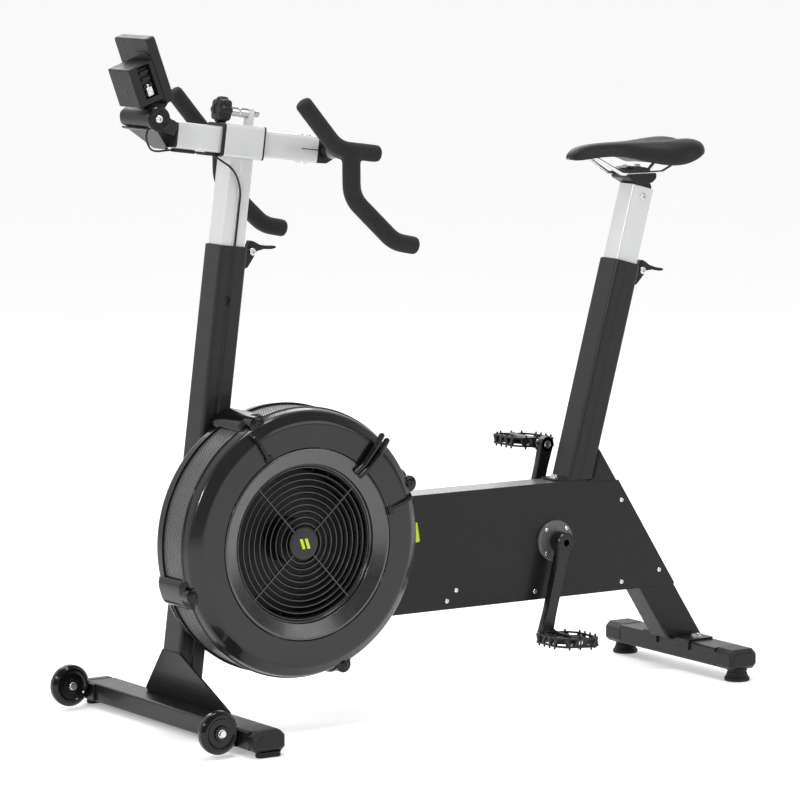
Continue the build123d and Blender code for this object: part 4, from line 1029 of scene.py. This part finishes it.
# ------------------------------------------------------------------ column and stem
def square_tube(bm, section, z0, z1, wall, depth, half):
    """A tube along local Z with both ends open to a depth of 20."""
    middle = sum(x for x, y in section) / len(section)

    def ring(z, inner):
        scale_x, scale_y = (1 - 2 * wall / depth, 1 - wall / half) if inner else (1, 1)
        return [(middle + (x - middle) * scale_x, y * scale_y, z) for x, y in section]

    loft(bm, [ring(z0 + 20, True), ring(z0, True), ring(z0, False), ring(z1, False), ring(z1, True),
              ring(z1 - 20, True)])


def along_x(bm, outline, x0, x1, wall=0.0):
    """A Y and Z outline made into a bar along local X, open at both ends when it has a wall."""
    count = len(outline)
    mid_y = sum(y for y, z in outline) / count
    mid_z = sum(z for y, z in outline) / count
    half = max(y for y, z in outline) - mid_y

    def ring(x, inner):
        k = 1 - wall / half if inner else 1
        return [(x, mid_y + (y - mid_y) * k, mid_z + (z - mid_z) * k) for y, z in outline]

    if wall:
        loft(bm, [ring(x0 + 15, True), ring(x0, True), ring(x0, False), ring(x1, False), ring(x1, True),
                  ring(x1 - 15, True)])
    else:
        loft(bm, [ring(x0, False), ring(x1, False)])


def inner_post(name, place, depth, low, high, node, body, groove=0.0):
    """A silver post that slides in a mouth, with a fine line down its left side when it has a groove."""
    gap = (depth - INNER_DEPTH) / 2
    bm = bmesh.new()
    mid = -depth * 0.46
    side = [(mid + 1.6, INNER_HALF), (mid + 1, INNER_HALF - groove), (mid - 1, INNER_HALF - groove),
            (mid - 1.6, INNER_HALF)] if groove else []
    points = [(-depth + gap, -INNER_HALF), (-gap, -INNER_HALF), (-gap, INNER_HALF), *side,
              (-depth + gap, INNER_HALF)]
    section = rounded(points, [4, 4, 4, *[0.2] * len(side), 4], 5)
    square_tube(bm, section, low, high, 3, INNER_DEPTH, INNER_HALF)
    piece(name, bm, "post_silver", body, place, (node,), angle=40)


def build_column():
    """The post that slides in the front post, the sleeve welded on it, and the sleeve's bush."""
    inner_post("inner_front_post", FRONT, POST_DEPTH, POST_TOP - 250, SLEEVE_LOW + 1, "handlebar_post",
               "column", groove=0.7)
    bm = bmesh.new()
    along_x(bm, rectangle(-30, 30, SLEEVE_LOW, SLEEVE_HIGH, 5), SLEEVE_BACK, SLEEVE_FRONT, 3)
    lug = KNOB_Z
    outline = rounded([(-8, SLEEVE_HIGH - 2), (8, SLEEVE_HIGH - 2), (8, lug + 2), (5, lug + 8), (-5, lug + 8),
                       (-8, lug + 2)], [0, 0, 3, 4, 4, 3], 3)
    along_x(bm, outline, -52, -41)
    piece("welded_sleeve", bm, "post_silver", "column", FRONT, ("stem_sleeve",), bevel=0.6, segments=2)

    bm = bmesh.new()
    band = rectangle(-29.4, 29.4, SLEEVE_LOW + 0.6, SLEEVE_HIGH - 0.6, 5)
    mid_z = STEM_MIDDLE
    proud = rectangle(-30.3, 30.3, SLEEVE_LOW - 0.3, SLEEVE_HIGH + 0.3, 5)
    bore = [(y * 23.3 / 29.4, mid_z + (z - (SLEEVE_LOW + SLEEVE_HIGH) / 2) * 23.3 / 28.25) for y, z in band]
    for inner_x, outer_x, outer in ((SLEEVE_FRONT, SLEEVE_FRONT + 4, band),
                                    (SLEEVE_BACK + 1, SLEEVE_BACK - 2.4, proud)):
        rows = [(inner_x, bore), (inner_x, outer), (outer_x, outer), (outer_x, bore)]
        loft(bm, [[(x, y, z) for y, z in ring] for x, ring in rows], loop=True)
    block(bm, SLEEVE_FRONT - 6, SLEEVE_FRONT + 30, -14, 14, SLEEVE_LOW - 1.2, SLEEVE_LOW + 3)
    piece("sleeve_bush", bm, "plastic_black", "column", FRONT, ("sleeve_liner",), bevel=0.4, segments=2)


def build_knob():
    """The knob with eight lobes, and the barrel and thread that it turns with."""
    lug = KNOB_Z
    bm = bmesh.new()
    outline = []
    for k in range(96):
        a = 2 * pi * k / 96
        reach = 19.6 + 3.9 * (0.5 + 0.5 * cos(8 * a)) ** 0.6
        outline.append((reach * sin(a), lug + reach * cos(a)))

    def ring(x, k):
        return [(x, y * k, lug + (z - lug) * k) for y, z in outline]

    loft(bm, [ring(-1, 0.55), ring(0, 0.88), ring(2, 0.97), ring(6, 1), ring(15, 1), ring(19, 0.95),
              ring(21, 0.84), ring(21.6, 0.5), ring(19.5, 0.45), ring(19.5, 0.02)])
    piece("lobed_knob", bm, "plastic_black", "clamp_knob", FRONT, ("clamp_knob",), angle=50)
    bm = bmesh.new()
    profile = [(0.2, -40.5), (9, -40.5), (9.5, -39.5), (9.5, -24), (8.6, -22.5), (8.6, -20.5), (9.5, -19),
               (9.5, -4), (11.5, -3), (11.5, 0), (0.2, 0)]
    turned(bm, rounded(profile, [0, 0.5, 0.5, 1, 0.4, 0.4, 1, 1, 1, 0.5, 0], 2), (0, lug), 48, "X")
    for x in range(-64, -52, 2):
        turned(bm, [(0.2, x), (5.6, x), (6.4, x + 1), (5.6, x + 2), (0.2, x + 2)], (0, lug), 32, "X")
    piece("knob_barrel", bm, "steel", "clamp_knob", FRONT, ("clamp_barrel",), angle=35)


def build_stem():
    """The stem tube, the clamp in its rear end, its screws, and the clip for the sensor lead."""
    bm = bmesh.new()
    along_x(bm, rectangle(-STEM_HALF, STEM_HALF, STEM_LOW, STEM_HIGH, 4.5), STEM_BACK, STEM_FRONT, 3)
    piece("stem_extrusion", bm, "post_silver", "stem", FRONT, ("stem_tube",), angle=40)

    # The clamp: a plug in the stem's rear end, split by a slit and closed round the bar.
    bm = bmesh.new()
    mid = STEM_MIDDLE
    side = [(STEM_BACK, STEM_LOW + 0.4), (STEM_BACK, STEM_HIGH - 0.4), (STEM_BACK - 20, STEM_HIGH - 1),
            (STEM_BACK - 35, mid + 12), (STEM_BACK - 35, mid - 12), (STEM_BACK - 20, STEM_LOW + 1)]
    prism(bm, rounded(side, [0, 0, 12, 10, 10, 12], 5), -22.6, 22.6)
    block(bm, STEM_BACK, STEM_BACK + 14, -19.5, 19.5, STEM_LOW + 3.2, STEM_HIGH - 3.2)
    block(bm, STEM_BACK - 1, STEM_BACK + 34, STEM_HALF - 0.6, STEM_HALF + 0.25, mid - 0.9, mid + 0.9)
    piece("bar_clamp", bm, "frame_black", "stem", FRONT, ("stem_clamp",), bevel=1.4)

    bm = bmesh.new()
    for x in (8, 24):
        for z, way in ((STEM_HIGH - 0.2, 1), (STEM_LOW + 0.2, -1)):
            button_screw(bm, (STEM_BACK + x, 0, z), (0, 0, way), 5.2, 3.4)
    button_screw(bm, (STEM_FRONT - 16, 0, STEM_HIGH - 0.2), (0, 0, 1), 3.6, 2.4)
    piece("stem_screws", bm, "steel", "stem", FRONT, angle=30)
    bm = bmesh.new()
    along_x(bm, rectangle(5, 20, STEM_LOW - 6.4, STEM_LOW, 2.4, 3), 66, 107)
    piece("lead_clip", bm, "plastic_black", "stem", FRONT, ("stem_fittings",), bevel=1.0, segments=2)


def build_handlebar():
    """The swept cross tube and, on each side, the foam of horn and drop fused together."""
    start = in_world(FRONT, STEM_BACK - 16, 0, STEM_MIDDLE)
    x, z = BAR_JOIN
    bm = bmesh.new()
    route = [(start.x, 0, start.z), (start.x, 45, start.z), (x, 175, z), (x, BAR_HALF, z)]
    tube(bm, bent(route, 40, 12), BAR_R + 1.6, 32)
    mirrored(bm)
    piece("cross_tube", bm, "frame_black", "stem", replaces=("handlebar",), angle=60)
    for side, flip in (("left", 1), ("right", -1)):
        bm = bmesh.new()
        horn_end = (HORN_PATH[2][0] + 9, HORN_PATH[2][1] + 1)
        drop_end = (DROP_PATH[3][0] + 3, DROP_PATH[3][1] - 4)
        horn = bent(at_y(HORN_PATH[:2] + [horn_end], flip * BAR_HALF), 60, 16)
        drop = bent(at_y(DROP_PATH[:3] + [drop_end], flip * BAR_HALF), [52, 62], 16)
        tube(bm, horn, GRIP_R, 32, (5, 5))
        tube(bm, drop, GRIP_R + 0.8, 32, (0, 5))
        tube(bm, [(x, flip * (BAR_HALF - 26), z), (x, flip * BAR_HALF, z)], GRIP_R - 1, 32)
        grip = piece(f"{side}_foam_grip", bm, "foam", "", angle=80)
        remeshed(grip, 2.4, 0.6, 14)
        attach(grip, "stem")
        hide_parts(f"{side}_grips")


# ------------------------------------------------------------------ monitor
def build_display():
    """The display's thin case with its four keys, its window, and a thin darker arched plate on its back that
    is painted shade for a dark arc.
    """
    bm = bmesh.new()
    thick, half, long = 19.0, 54.5, DISPLAY_LONG
    face = rectangle(-half, half, -long, 0, 5, 5)
    rings = []
    for x, inset in ((0, 1.4), (-1.4, 0), (-thick + 3, 0), (-thick + 0.6, 1.6), (-thick, 3.2)):
        scale_y, scale_z = 1 - inset / half, 1 - 2 * inset / long
        rings.append([(x, y * scale_y, -long / 2 + (z + long / 2) * scale_z) for y, z in face])
    loft(bm, rings)
    for y in (-36, -12, 12, 36):
        along_x(bm, rectangle(y - 9, y + 9, -106, -92, 3, 3), -thick - 2, -thick + 1)
    piece("display_case", bm, "plastic_black", "monitor", SCREEN, ("monitor_case",), bevel=0.5, segments=2,
          angle=45)
    bm = bmesh.new()
    along_x(bm, rectangle(-42, 42, -82, -12, 2.5, 4), -thick - 0.5, -thick + 1)
    piece("display_window", bm, "screen", "monitor", SCREEN, ("monitor_screen",), bevel=0.3, segments=2)
    bm = bmesh.new()
    # Painted shade: a thin arched plate of a darker black, standing proud of the case's back, stands for the
    # dark arc above the battery box. Two small discs go with it.
    for y in (-27, 27):
        turned(bm, [(0.2, -0.5), (2.3, -0.5), (2.3, 0.35), (0.2, 0.35)], (y, -8), 20, "X")
    arch = [(-16, -37), (54, -37), (53, -31), (38, -23), (5, -23), (-12, -30)]
    along_x(bm, rounded(arch, [0, 0, 3, 18, 18, 3], 6), -0.5, 1.2)
    piece("painted_shade_arch", bm, "lead_black", "monitor", SCREEN, bevel=0.2, segments=1)


def build_battery_box():
    """Four walls round a deep recess that opens to the left and holds the socket and its plug."""
    bm = bmesh.new()
    y0, y1, z0, z1, deep = -15.5, 54.5, -106.0, -37.0, 50.0
    outer = rectangle(0.2, deep, z0, z1, 2.5, 4)
    recess = rectangle(8, 33, z0 + 9, z1 - 3, 2, 4)
    loft(bm, [[(x, y0, z) for x, z in outer], [(x, y1, z) for x, z in outer], [(x, y1, z) for x, z in recess],
              [(x, y1 - 16, z) for x, z in recess]])
    piece("battery_housing", bm, "plastic_black", "monitor", SCREEN, ("battery_box",), bevel=0.9, segments=2)
    bm = bmesh.new()
    notch = rounded([(13, -79), (24, -72), (29, -75), (24, -79), (29, -84), (13, -87)], [2, 2, 1, 1, 1, 2], 2)
    along_x(bm, notch, deep - 0.5, deep + 0.35)
    block(bm, 10, 31, y1 - 15.5, y1 - 9, z0 + 12, z1 - 8)
    for z in (-88, -76, -64, -52):
        block(bm, 12, 29, y1 - 11, y1 - 4, z - 2.5, z + 2.5)
    piece("socket_board", bm, "lead_black", "monitor", SCREEN, bevel=0.8, segments=2)
    bm = bmesh.new()
    block(bm, 15, 26, y1 - 12, y1 - 2.5, z0 + 12, z0 + 27)
    tube(bm, [(20.5, y1 - 7, z0 + 27), (20.5, y1 - 6.5, z0 + 33)], 3.2, 16)
    for z in (z0 + 16, z0 + 21):
        block(bm, 17, 24, y1 - 3, y1 - 1.9, z - 1.2, z + 1.2)
    piece("plug_shell", bm, "steel", "monitor", SCREEN, bevel=0.6, segments=2)


def build_pivot():
    """The barrel that the monitor tilts on, its four ribs, and the knob and bolt on its axis."""
    x, z = PIVOT
    bm = bmesh.new()
    turned(bm, rounded([(5.3, -46), (15.5, -46), (17, -44.5), (17, 44.5), (15.5, 46), (5.3, 46)],
                       [0, 1, 1, 1, 1, 0], 3), PIVOT, 64)
    neck = in_world(SCREEN, 3, 0, -DISPLAY_LONG)
    for y in (-34, -11, 12, 35):
        rib = [(neck.x - 18, neck.z + 5), (neck.x + 16, neck.z - 2), (x + 12, z - 2), (x - 12, z)]
        prism(bm, rounded(rib, [2, 2, 6, 6]), y - 3, y + 3)
    piece("pivot_barrel", bm, "plastic_black", "monitor", replaces=("monitor_mount",), bevel=0.6, segments=2)
    bm = bmesh.new()
    profile = [(5, 52), (20, 52), (21.8, 53.5), (21.8, 59), (19.5, 61), (14, 61), (12.5, 58.6), (5, 58.6)]
    turned(bm, rounded(profile, [0, 1, 1, 2, 1, 1, 1, 0], 4), PIVOT, 72)
    piece("tilt_knob_ring", bm, "wheel_black", "monitor", replaces=("tilt_knob",), angle=40)
    bm = bmesh.new()
    button_screw(bm, (x, 58.4, z), (0, 1, 0), 7.2, 3.4, 0.45)
    hex_bolt(bm, (x, -52, z), (0, -1, 0), 7.5, 5)
    piece("tilt_bolt", bm, "steel", "monitor", angle=30)


def build_cradle():
    """Two ears beside the barrel, a sloping pan below it, and the plate on the stem's front end."""
    x, z = PIVOT
    bm = bmesh.new()
    top = in_world(FRONT, STEM_FRONT + 1, 0, STEM_HIGH - 3)
    low = in_world(FRONT, STEM_FRONT + 1, 0, STEM_LOW)
    ear = [(top.x, top.z), (x + 2, z + 15), (x + 15, z + 8), (x + 13, z - 13),
           (low.x + 4, (low.z + top.z) / 2)]
    for y0, y1 in ((46.4, 51.4), (-51.4, -46.4)):
        prism(bm, rounded(ear, [1, 14, 12, 12, 1], 5), y0, y1)
    # The pan hugs the underside of the barrel and narrows towards the stem.
    rows = [(x + 19 * cos(a), 51, z + 19 * sin(a)) for a in [radians(-d) for d in (58, 70, 82, 94)]]
    rows += [(low.x + 1, 25, low.z - 1)]
    sheet = []
    for i, (px, half_y, pz) in enumerate(rows):
        away = Vector((px - x, 0, pz - z)).normalized() * 3 if i < len(rows) - 1 else Vector((0, 0, -3))
        sheet.append([(px, -half_y, pz), (px, half_y, pz), (px + away.x, half_y, pz + away.z),
                      (px + away.x, -half_y, pz + away.z)])
    loft(bm, sheet)
    mark = len(bm.verts)
    along_x(bm, rectangle(-50, 50, 0, 42, 6), 0, 4)
    moved(bm, WORLD.inverted() @ FRONT @ Matrix.Translation((STEM_FRONT, 0, STEM_LOW + 1)), mark)
    piece("monitor_cradle", bm, "frame_black", "stem", replaces=("monitor_bracket",), bevel=1.0)


# ------------------------------------------------------------------ sensor lead
def lead_curve(name, route, node):
    """A smooth lead through the given points, made a mesh."""
    curve = bpy.data.curves.new(name, "CURVE")
    curve.dimensions = "3D"
    spline = curve.splines.new("NURBS")
    spline.points.add(len(route) - 1)
    for point, spot in zip(spline.points, route):
        point.co = (*(WORLD @ Vector(spot)), 1)
    spline.order_u = 3
    spline.use_endpoint_u = True
    spline.resolution_u = 10
    curve.bevel_depth = 1.8 * MM
    curve.bevel_resolution = 4
    curve.use_fill_caps = True
    draft = bpy.data.objects.new(name + "_draft", curve)
    bpy.context.scene.collection.objects.link(draft)
    bpy.context.view_layer.update()
    mesh = bpy.data.meshes.new_from_object(draft.evaluated_get(bpy.context.evaluated_depsgraph_get()))
    bpy.data.objects.remove(draft)
    mesh.materials.clear()
    mesh.materials.append(LOOKS["lead_black"])
    lead = bpy.data.objects.new(name, mesh)
    bpy.context.scene.collection.objects.link(lead)
    for polygon in mesh.polygons:
        polygon.use_smooth = True
    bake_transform(lead)
    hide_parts(node)


def build_lead():
    """The sensor lead: under the stem to the clip, then down into the front post's mouth."""
    under = STEM_LOW - 3.0
    x, z = PIVOT

    def on_post(lx, y, lz):
        return in_world(FRONT, lx, y, lz)

    upper = [Vector((x + 9, 40, z - 14.5)), Vector((x + 15, 40, z - 24)), Vector((858, 36, 1026)),
             Vector((841, 26, 1010)), on_post(110, 12, under), on_post(87, 12, under), on_post(64, 12, under),
             on_post(40, 16, under)]
    lead_curve("upper_sensor_lead", upper,
               "upper_lead")
    lower = [on_post(40, 16, under), on_post(31, 17.5, under), on_post(17, 24, under - 9),
             on_post(-8, 31, under - 22), on_post(-29, 27, under - 54), on_post(-30, 24.9, under - 90),
             on_post(-30, 24.9, POST_TOP + 30), on_post(-30, 24.9, POST_TOP - 6)]
    lead_curve("lower_sensor_lead", lower,
               "lower_lead")


# ------------------------------------------------------------------ seat
def build_seat_post():
    """The post that slides in the seat tube, its head plug and the head's side bolt."""
    top = SEAT_POST_TOP
    inner_post("inner_seat_post", SEAT, SEAT_DEPTH, SEAT_TOP - 230, top + 4, "seat_post", "seat_post")
    bm = bmesh.new()
    back, front = -SEAT_DEPTH + 6.5, -6.5
    outline = rounded([(back, top - 8), (front, top - 8), (front, top + 8), (front - 5, top + 18),
                       (back + 8, top + 18), (back, top + 8)], [1, 1, 5, 6, 6, 5], 4)
    prism(bm, outline, -19, 19)
    piece("seat_head", bm, "frame_black", "seat_post", SEAT, ("seat_post_head",), bevel=1.6)
    bm = bmesh.new()
    spot = in_world(SEAT, -29, INNER_HALF - 0.2, top - 14)
    button_screw(bm, spot, (0, 1, 0), 6.5, 3)
    piece("seat_side_bolt", bm, "steel", "seat_post", angle=30)


def build_rail_clamp():
    """A curved cradle, an upper bar over both saddle rails, and two bolts."""
    x, z = SADDLE_PIVOT
    bm = bmesh.new()
    cradle = rounded([(x - 38, RAIL_Z - 1), (x - 38, z + 5), (x - 28, z - 3), (x + 6, z - 3), (x + 24, z + 7),
                      (x + 26, RAIL_Z - 1)], [2, 8, 9, 12, 2, 2], 5)
    prism(bm, cradle, -28, 28)
    cap = rounded([(x - 24, RAIL_Z + 1), (x + 24, RAIL_Z + 1), (x + 22, RAIL_Z + 8), (x + 12, RAIL_Z + 11),
                   (x - 12, RAIL_Z + 11), (x - 22, RAIL_Z + 8)], [1, 1, 3, 5, 5, 3], 4)
    prism(bm, cap, -29, 29)
    turned(bm, rounded([(0.2, -27), (7, -27), (7, 27), (0.2, 27)], [0, 1, 1, 0], 3), SADDLE_PIVOT, 40)
    piece("rail_cradle", bm, "frame_black", "rail_clamp", replaces=("rail_clamp",), bevel=1.0)
    bm = bmesh.new()
    for dx in (-14, 14):
        hex_bolt(bm, (x + dx, 0, RAIL_Z + 10), (0, 0, 1), 6, 5, washer=7.5)
    piece("clamp_bolts", bm, "steel", "rail_clamp", angle=30)


def build_rails():
    """Two bent wires that run from the saddle's nose through the clamp to its rear."""
    bm = bmesh.new()
    for y in (-RAIL_GAP, RAIL_GAP):
        route = [(-84, y * 0.45, 968), (-99, y * 0.6, 965), (-154, y, RAIL_Z), (-244, y, RAIL_Z),
                 (-262, y * 1.3, 945), (-274, y * 1.5, 960)]
        tube(bm, bent(route, 14, 6), RAIL_R, 20)
    piece("bent_saddle_rails", bm, "steel", "saddle", replaces=("saddle_rails",), angle=50)


def saddle_ring(x, wide, left, right):
    """One station's loop from points of (share of the half width, height), down the left and up the right."""
    return [(x, wide * u, h) for u, h in left] + [(x, -wide * u, h) for u, h in right[::-1]]


def build_saddle():
    """A pressed base, and over it foam under one stretched cover with two humps and a channel."""
    # Along the saddle: X, half width, middle height, height of the humps, height of the edge.
    stations = [(-47, 8, 970, 970, 965), (-53, 12.5, 976.5, 977, 962.5), (-66, 17, 984, 984.5, 961.5),
                (-92, 20, 988, 988.7, 965), (-125, 22.5, 990, 990.5, 967), (-158, 27, 990, 990.8, 966),
                (-188, 39, 989.3, 991.2, 959), (-214, 56, 988, 992, 951), (-240, 71.5, 987, 993.5, 948),
                (-266, 79.5, 986.5, 995.5, 951), (-290, 79, 986, 996.3, 960.5), (-308, 70, 984.5, 994, 967.5),
                (-318, 55, 981.5, 989, 971.5), (-323, 40, 978, 982.5, 973)]
    bm = bmesh.new()
    rings = []
    for sx, wide, middle, hump, edge in stations:
        half = [(0.0, middle), (0.22, middle + (hump - middle) * 0.62), (0.45, hump), (0.68, hump - 1.8),
                (0.86, hump - (hump - edge) * 0.22), (0.965, hump - (hump - edge) * 0.52),
                (1.0, edge + (hump - edge) * 0.18), (0.985, edge), (0.93, edge - 1.5), (0.86, edge + 1.2)]
        rings.append(saddle_ring(sx, wide, half, half[1:]))
    loft(bm, rings)
    cover = piece("saddle_cushion", bm, "saddle_cover", "saddle", replaces=("saddle_pad",), subdivide=2,
                  angle=80)
    cover.modifiers.clear()

    bm = bmesh.new()
    rings = []
    for sx, wide, middle, hump, edge in stations[1:-1]:
        low = edge + 0.5 if wide < 30 else edge + 3
        drop = 3.5 if wide < 30 else 0.0
        belly = low - drop
        section = [(0.9, edge + 5), (0.9, low), (0.6, belly + 1), (0.3, belly + 2), (0.0, belly + 2.5)]
        rings.append(saddle_ring(sx, wide, section, section[:-1]))
    loft(bm, rings)
    piece("saddle_shell", bm, "plastic_black", "saddle", replaces=("saddle_base",), subdivide=1, angle=60)


# ------------------------------------------------------------------ clamp levers
def build_levers():
    """At each post's mouth: two ears, the pin through them, and the thumb lever on the pin."""
    for name, place, back, top in (("front", FRONT, -POST_DEPTH, POST_TOP),
                                   ("rear", SEAT, -SEAT_DEPTH, SEAT_TOP)):
        px, pz = back - 20, top - 6
        bm = bmesh.new()
        for y in (-9.5, 9.5):
            ear = [(back + 0.5, pz - 34), (px + 6, pz - 28), (px - 7, pz - 4), (px - 3, pz + 7),
                   (px + 6, pz + 5), (back + 0.5, pz - 4)]
            prism(bm, rounded(ear, [0, 4, 6, 5, 4, 0], 4), y - 1.6, y + 1.6)
        block(bm, back - 3, back + 0.5, -11, 11, pz - 33, pz - 4)
        piece(f"{name}_lever_mount", bm, "plastic_black", "frame", place, bevel=0.7, segments=2)
        bm = bmesh.new()
        for flip in (1, -1):
            button_screw(bm, (px, flip * 11, pz), (0, flip, 0), 7, 3.2, 0.42)
        tube(bm, [(px, -11, pz), (px, 11, pz)], 3, 16)
        piece(f"{name}_lever_pin", bm, "steel", "frame", place, angle=30)
        bm = bmesh.new()
        arm = [(4, -7), (8, 6), (5, 20), (-3, 19), (-16, 14), (-33, 13), (-50, 14.5), (-52, 10.5), (-42, 7.5),
               (-26, 6.5), (-10, 1), (-6, -8)]
        arm = rounded([(px + x, pz + z) for x, z in arm], [5, 6, 4, 4, 8, 10, 2, 2, 8, 8, 8, 5], 4)
        rings = []
        for y, k in ((-7.0, 0.9), (-5.4, 0.97), (5.4, 0.97), (7.0, 0.9)):
            rings.append([(px - 20 + (x - px + 20) * k, y, pz + 7 + (z - pz - 7) * k) for x, z in arm])
        loft(bm, rings)
        piece(f"{name}_thumb_lever", bm, "plastic_black", f"{name}_lever", place, (f"{name}_clamp_lever",),
              angle=40)


# ------------------------------------------------------------------ pieces that stay as the CAD has them
def dress_frame_nodes():
    """Gives the rail and the inner works, whose shapes stay, their finished materials."""
    looks = {"main_rail": "rail_silver", "shaft_bearings": "steel", "drive_belts": "belt_rubber",
             "crank_spindle": "steel", "jackshaft": "steel", "fan_wheel": "fan_grey",
             "flywheel_shaft": "steel"}
    for node, look in looks.items():
        thing = frame["nodes"][node]
        if not thing.material_slots:
            thing.data.materials.append(None)
        for slot in thing.material_slots:
            slot.material = LOOKS[look]


build_studio()
build_crossbars()
build_feet()
build_wheels()
build_posts()
build_leg()
build_grommet()
build_panels()
build_gusset()
build_brackets()
build_screws()
build_crank_discs()
build_cranks()
build_shells()
build_lever_stops()
build_band()
build_clips()
build_damper()
build_grille()
build_column()
build_knob()
build_stem()
build_handlebar()
build_display()
build_battery_box()
build_pivot()
build_cradle()
build_lead()
build_seat_post()
build_rail_clamp()
build_rails()
build_saddle()
build_levers()
dress_frame_nodes()
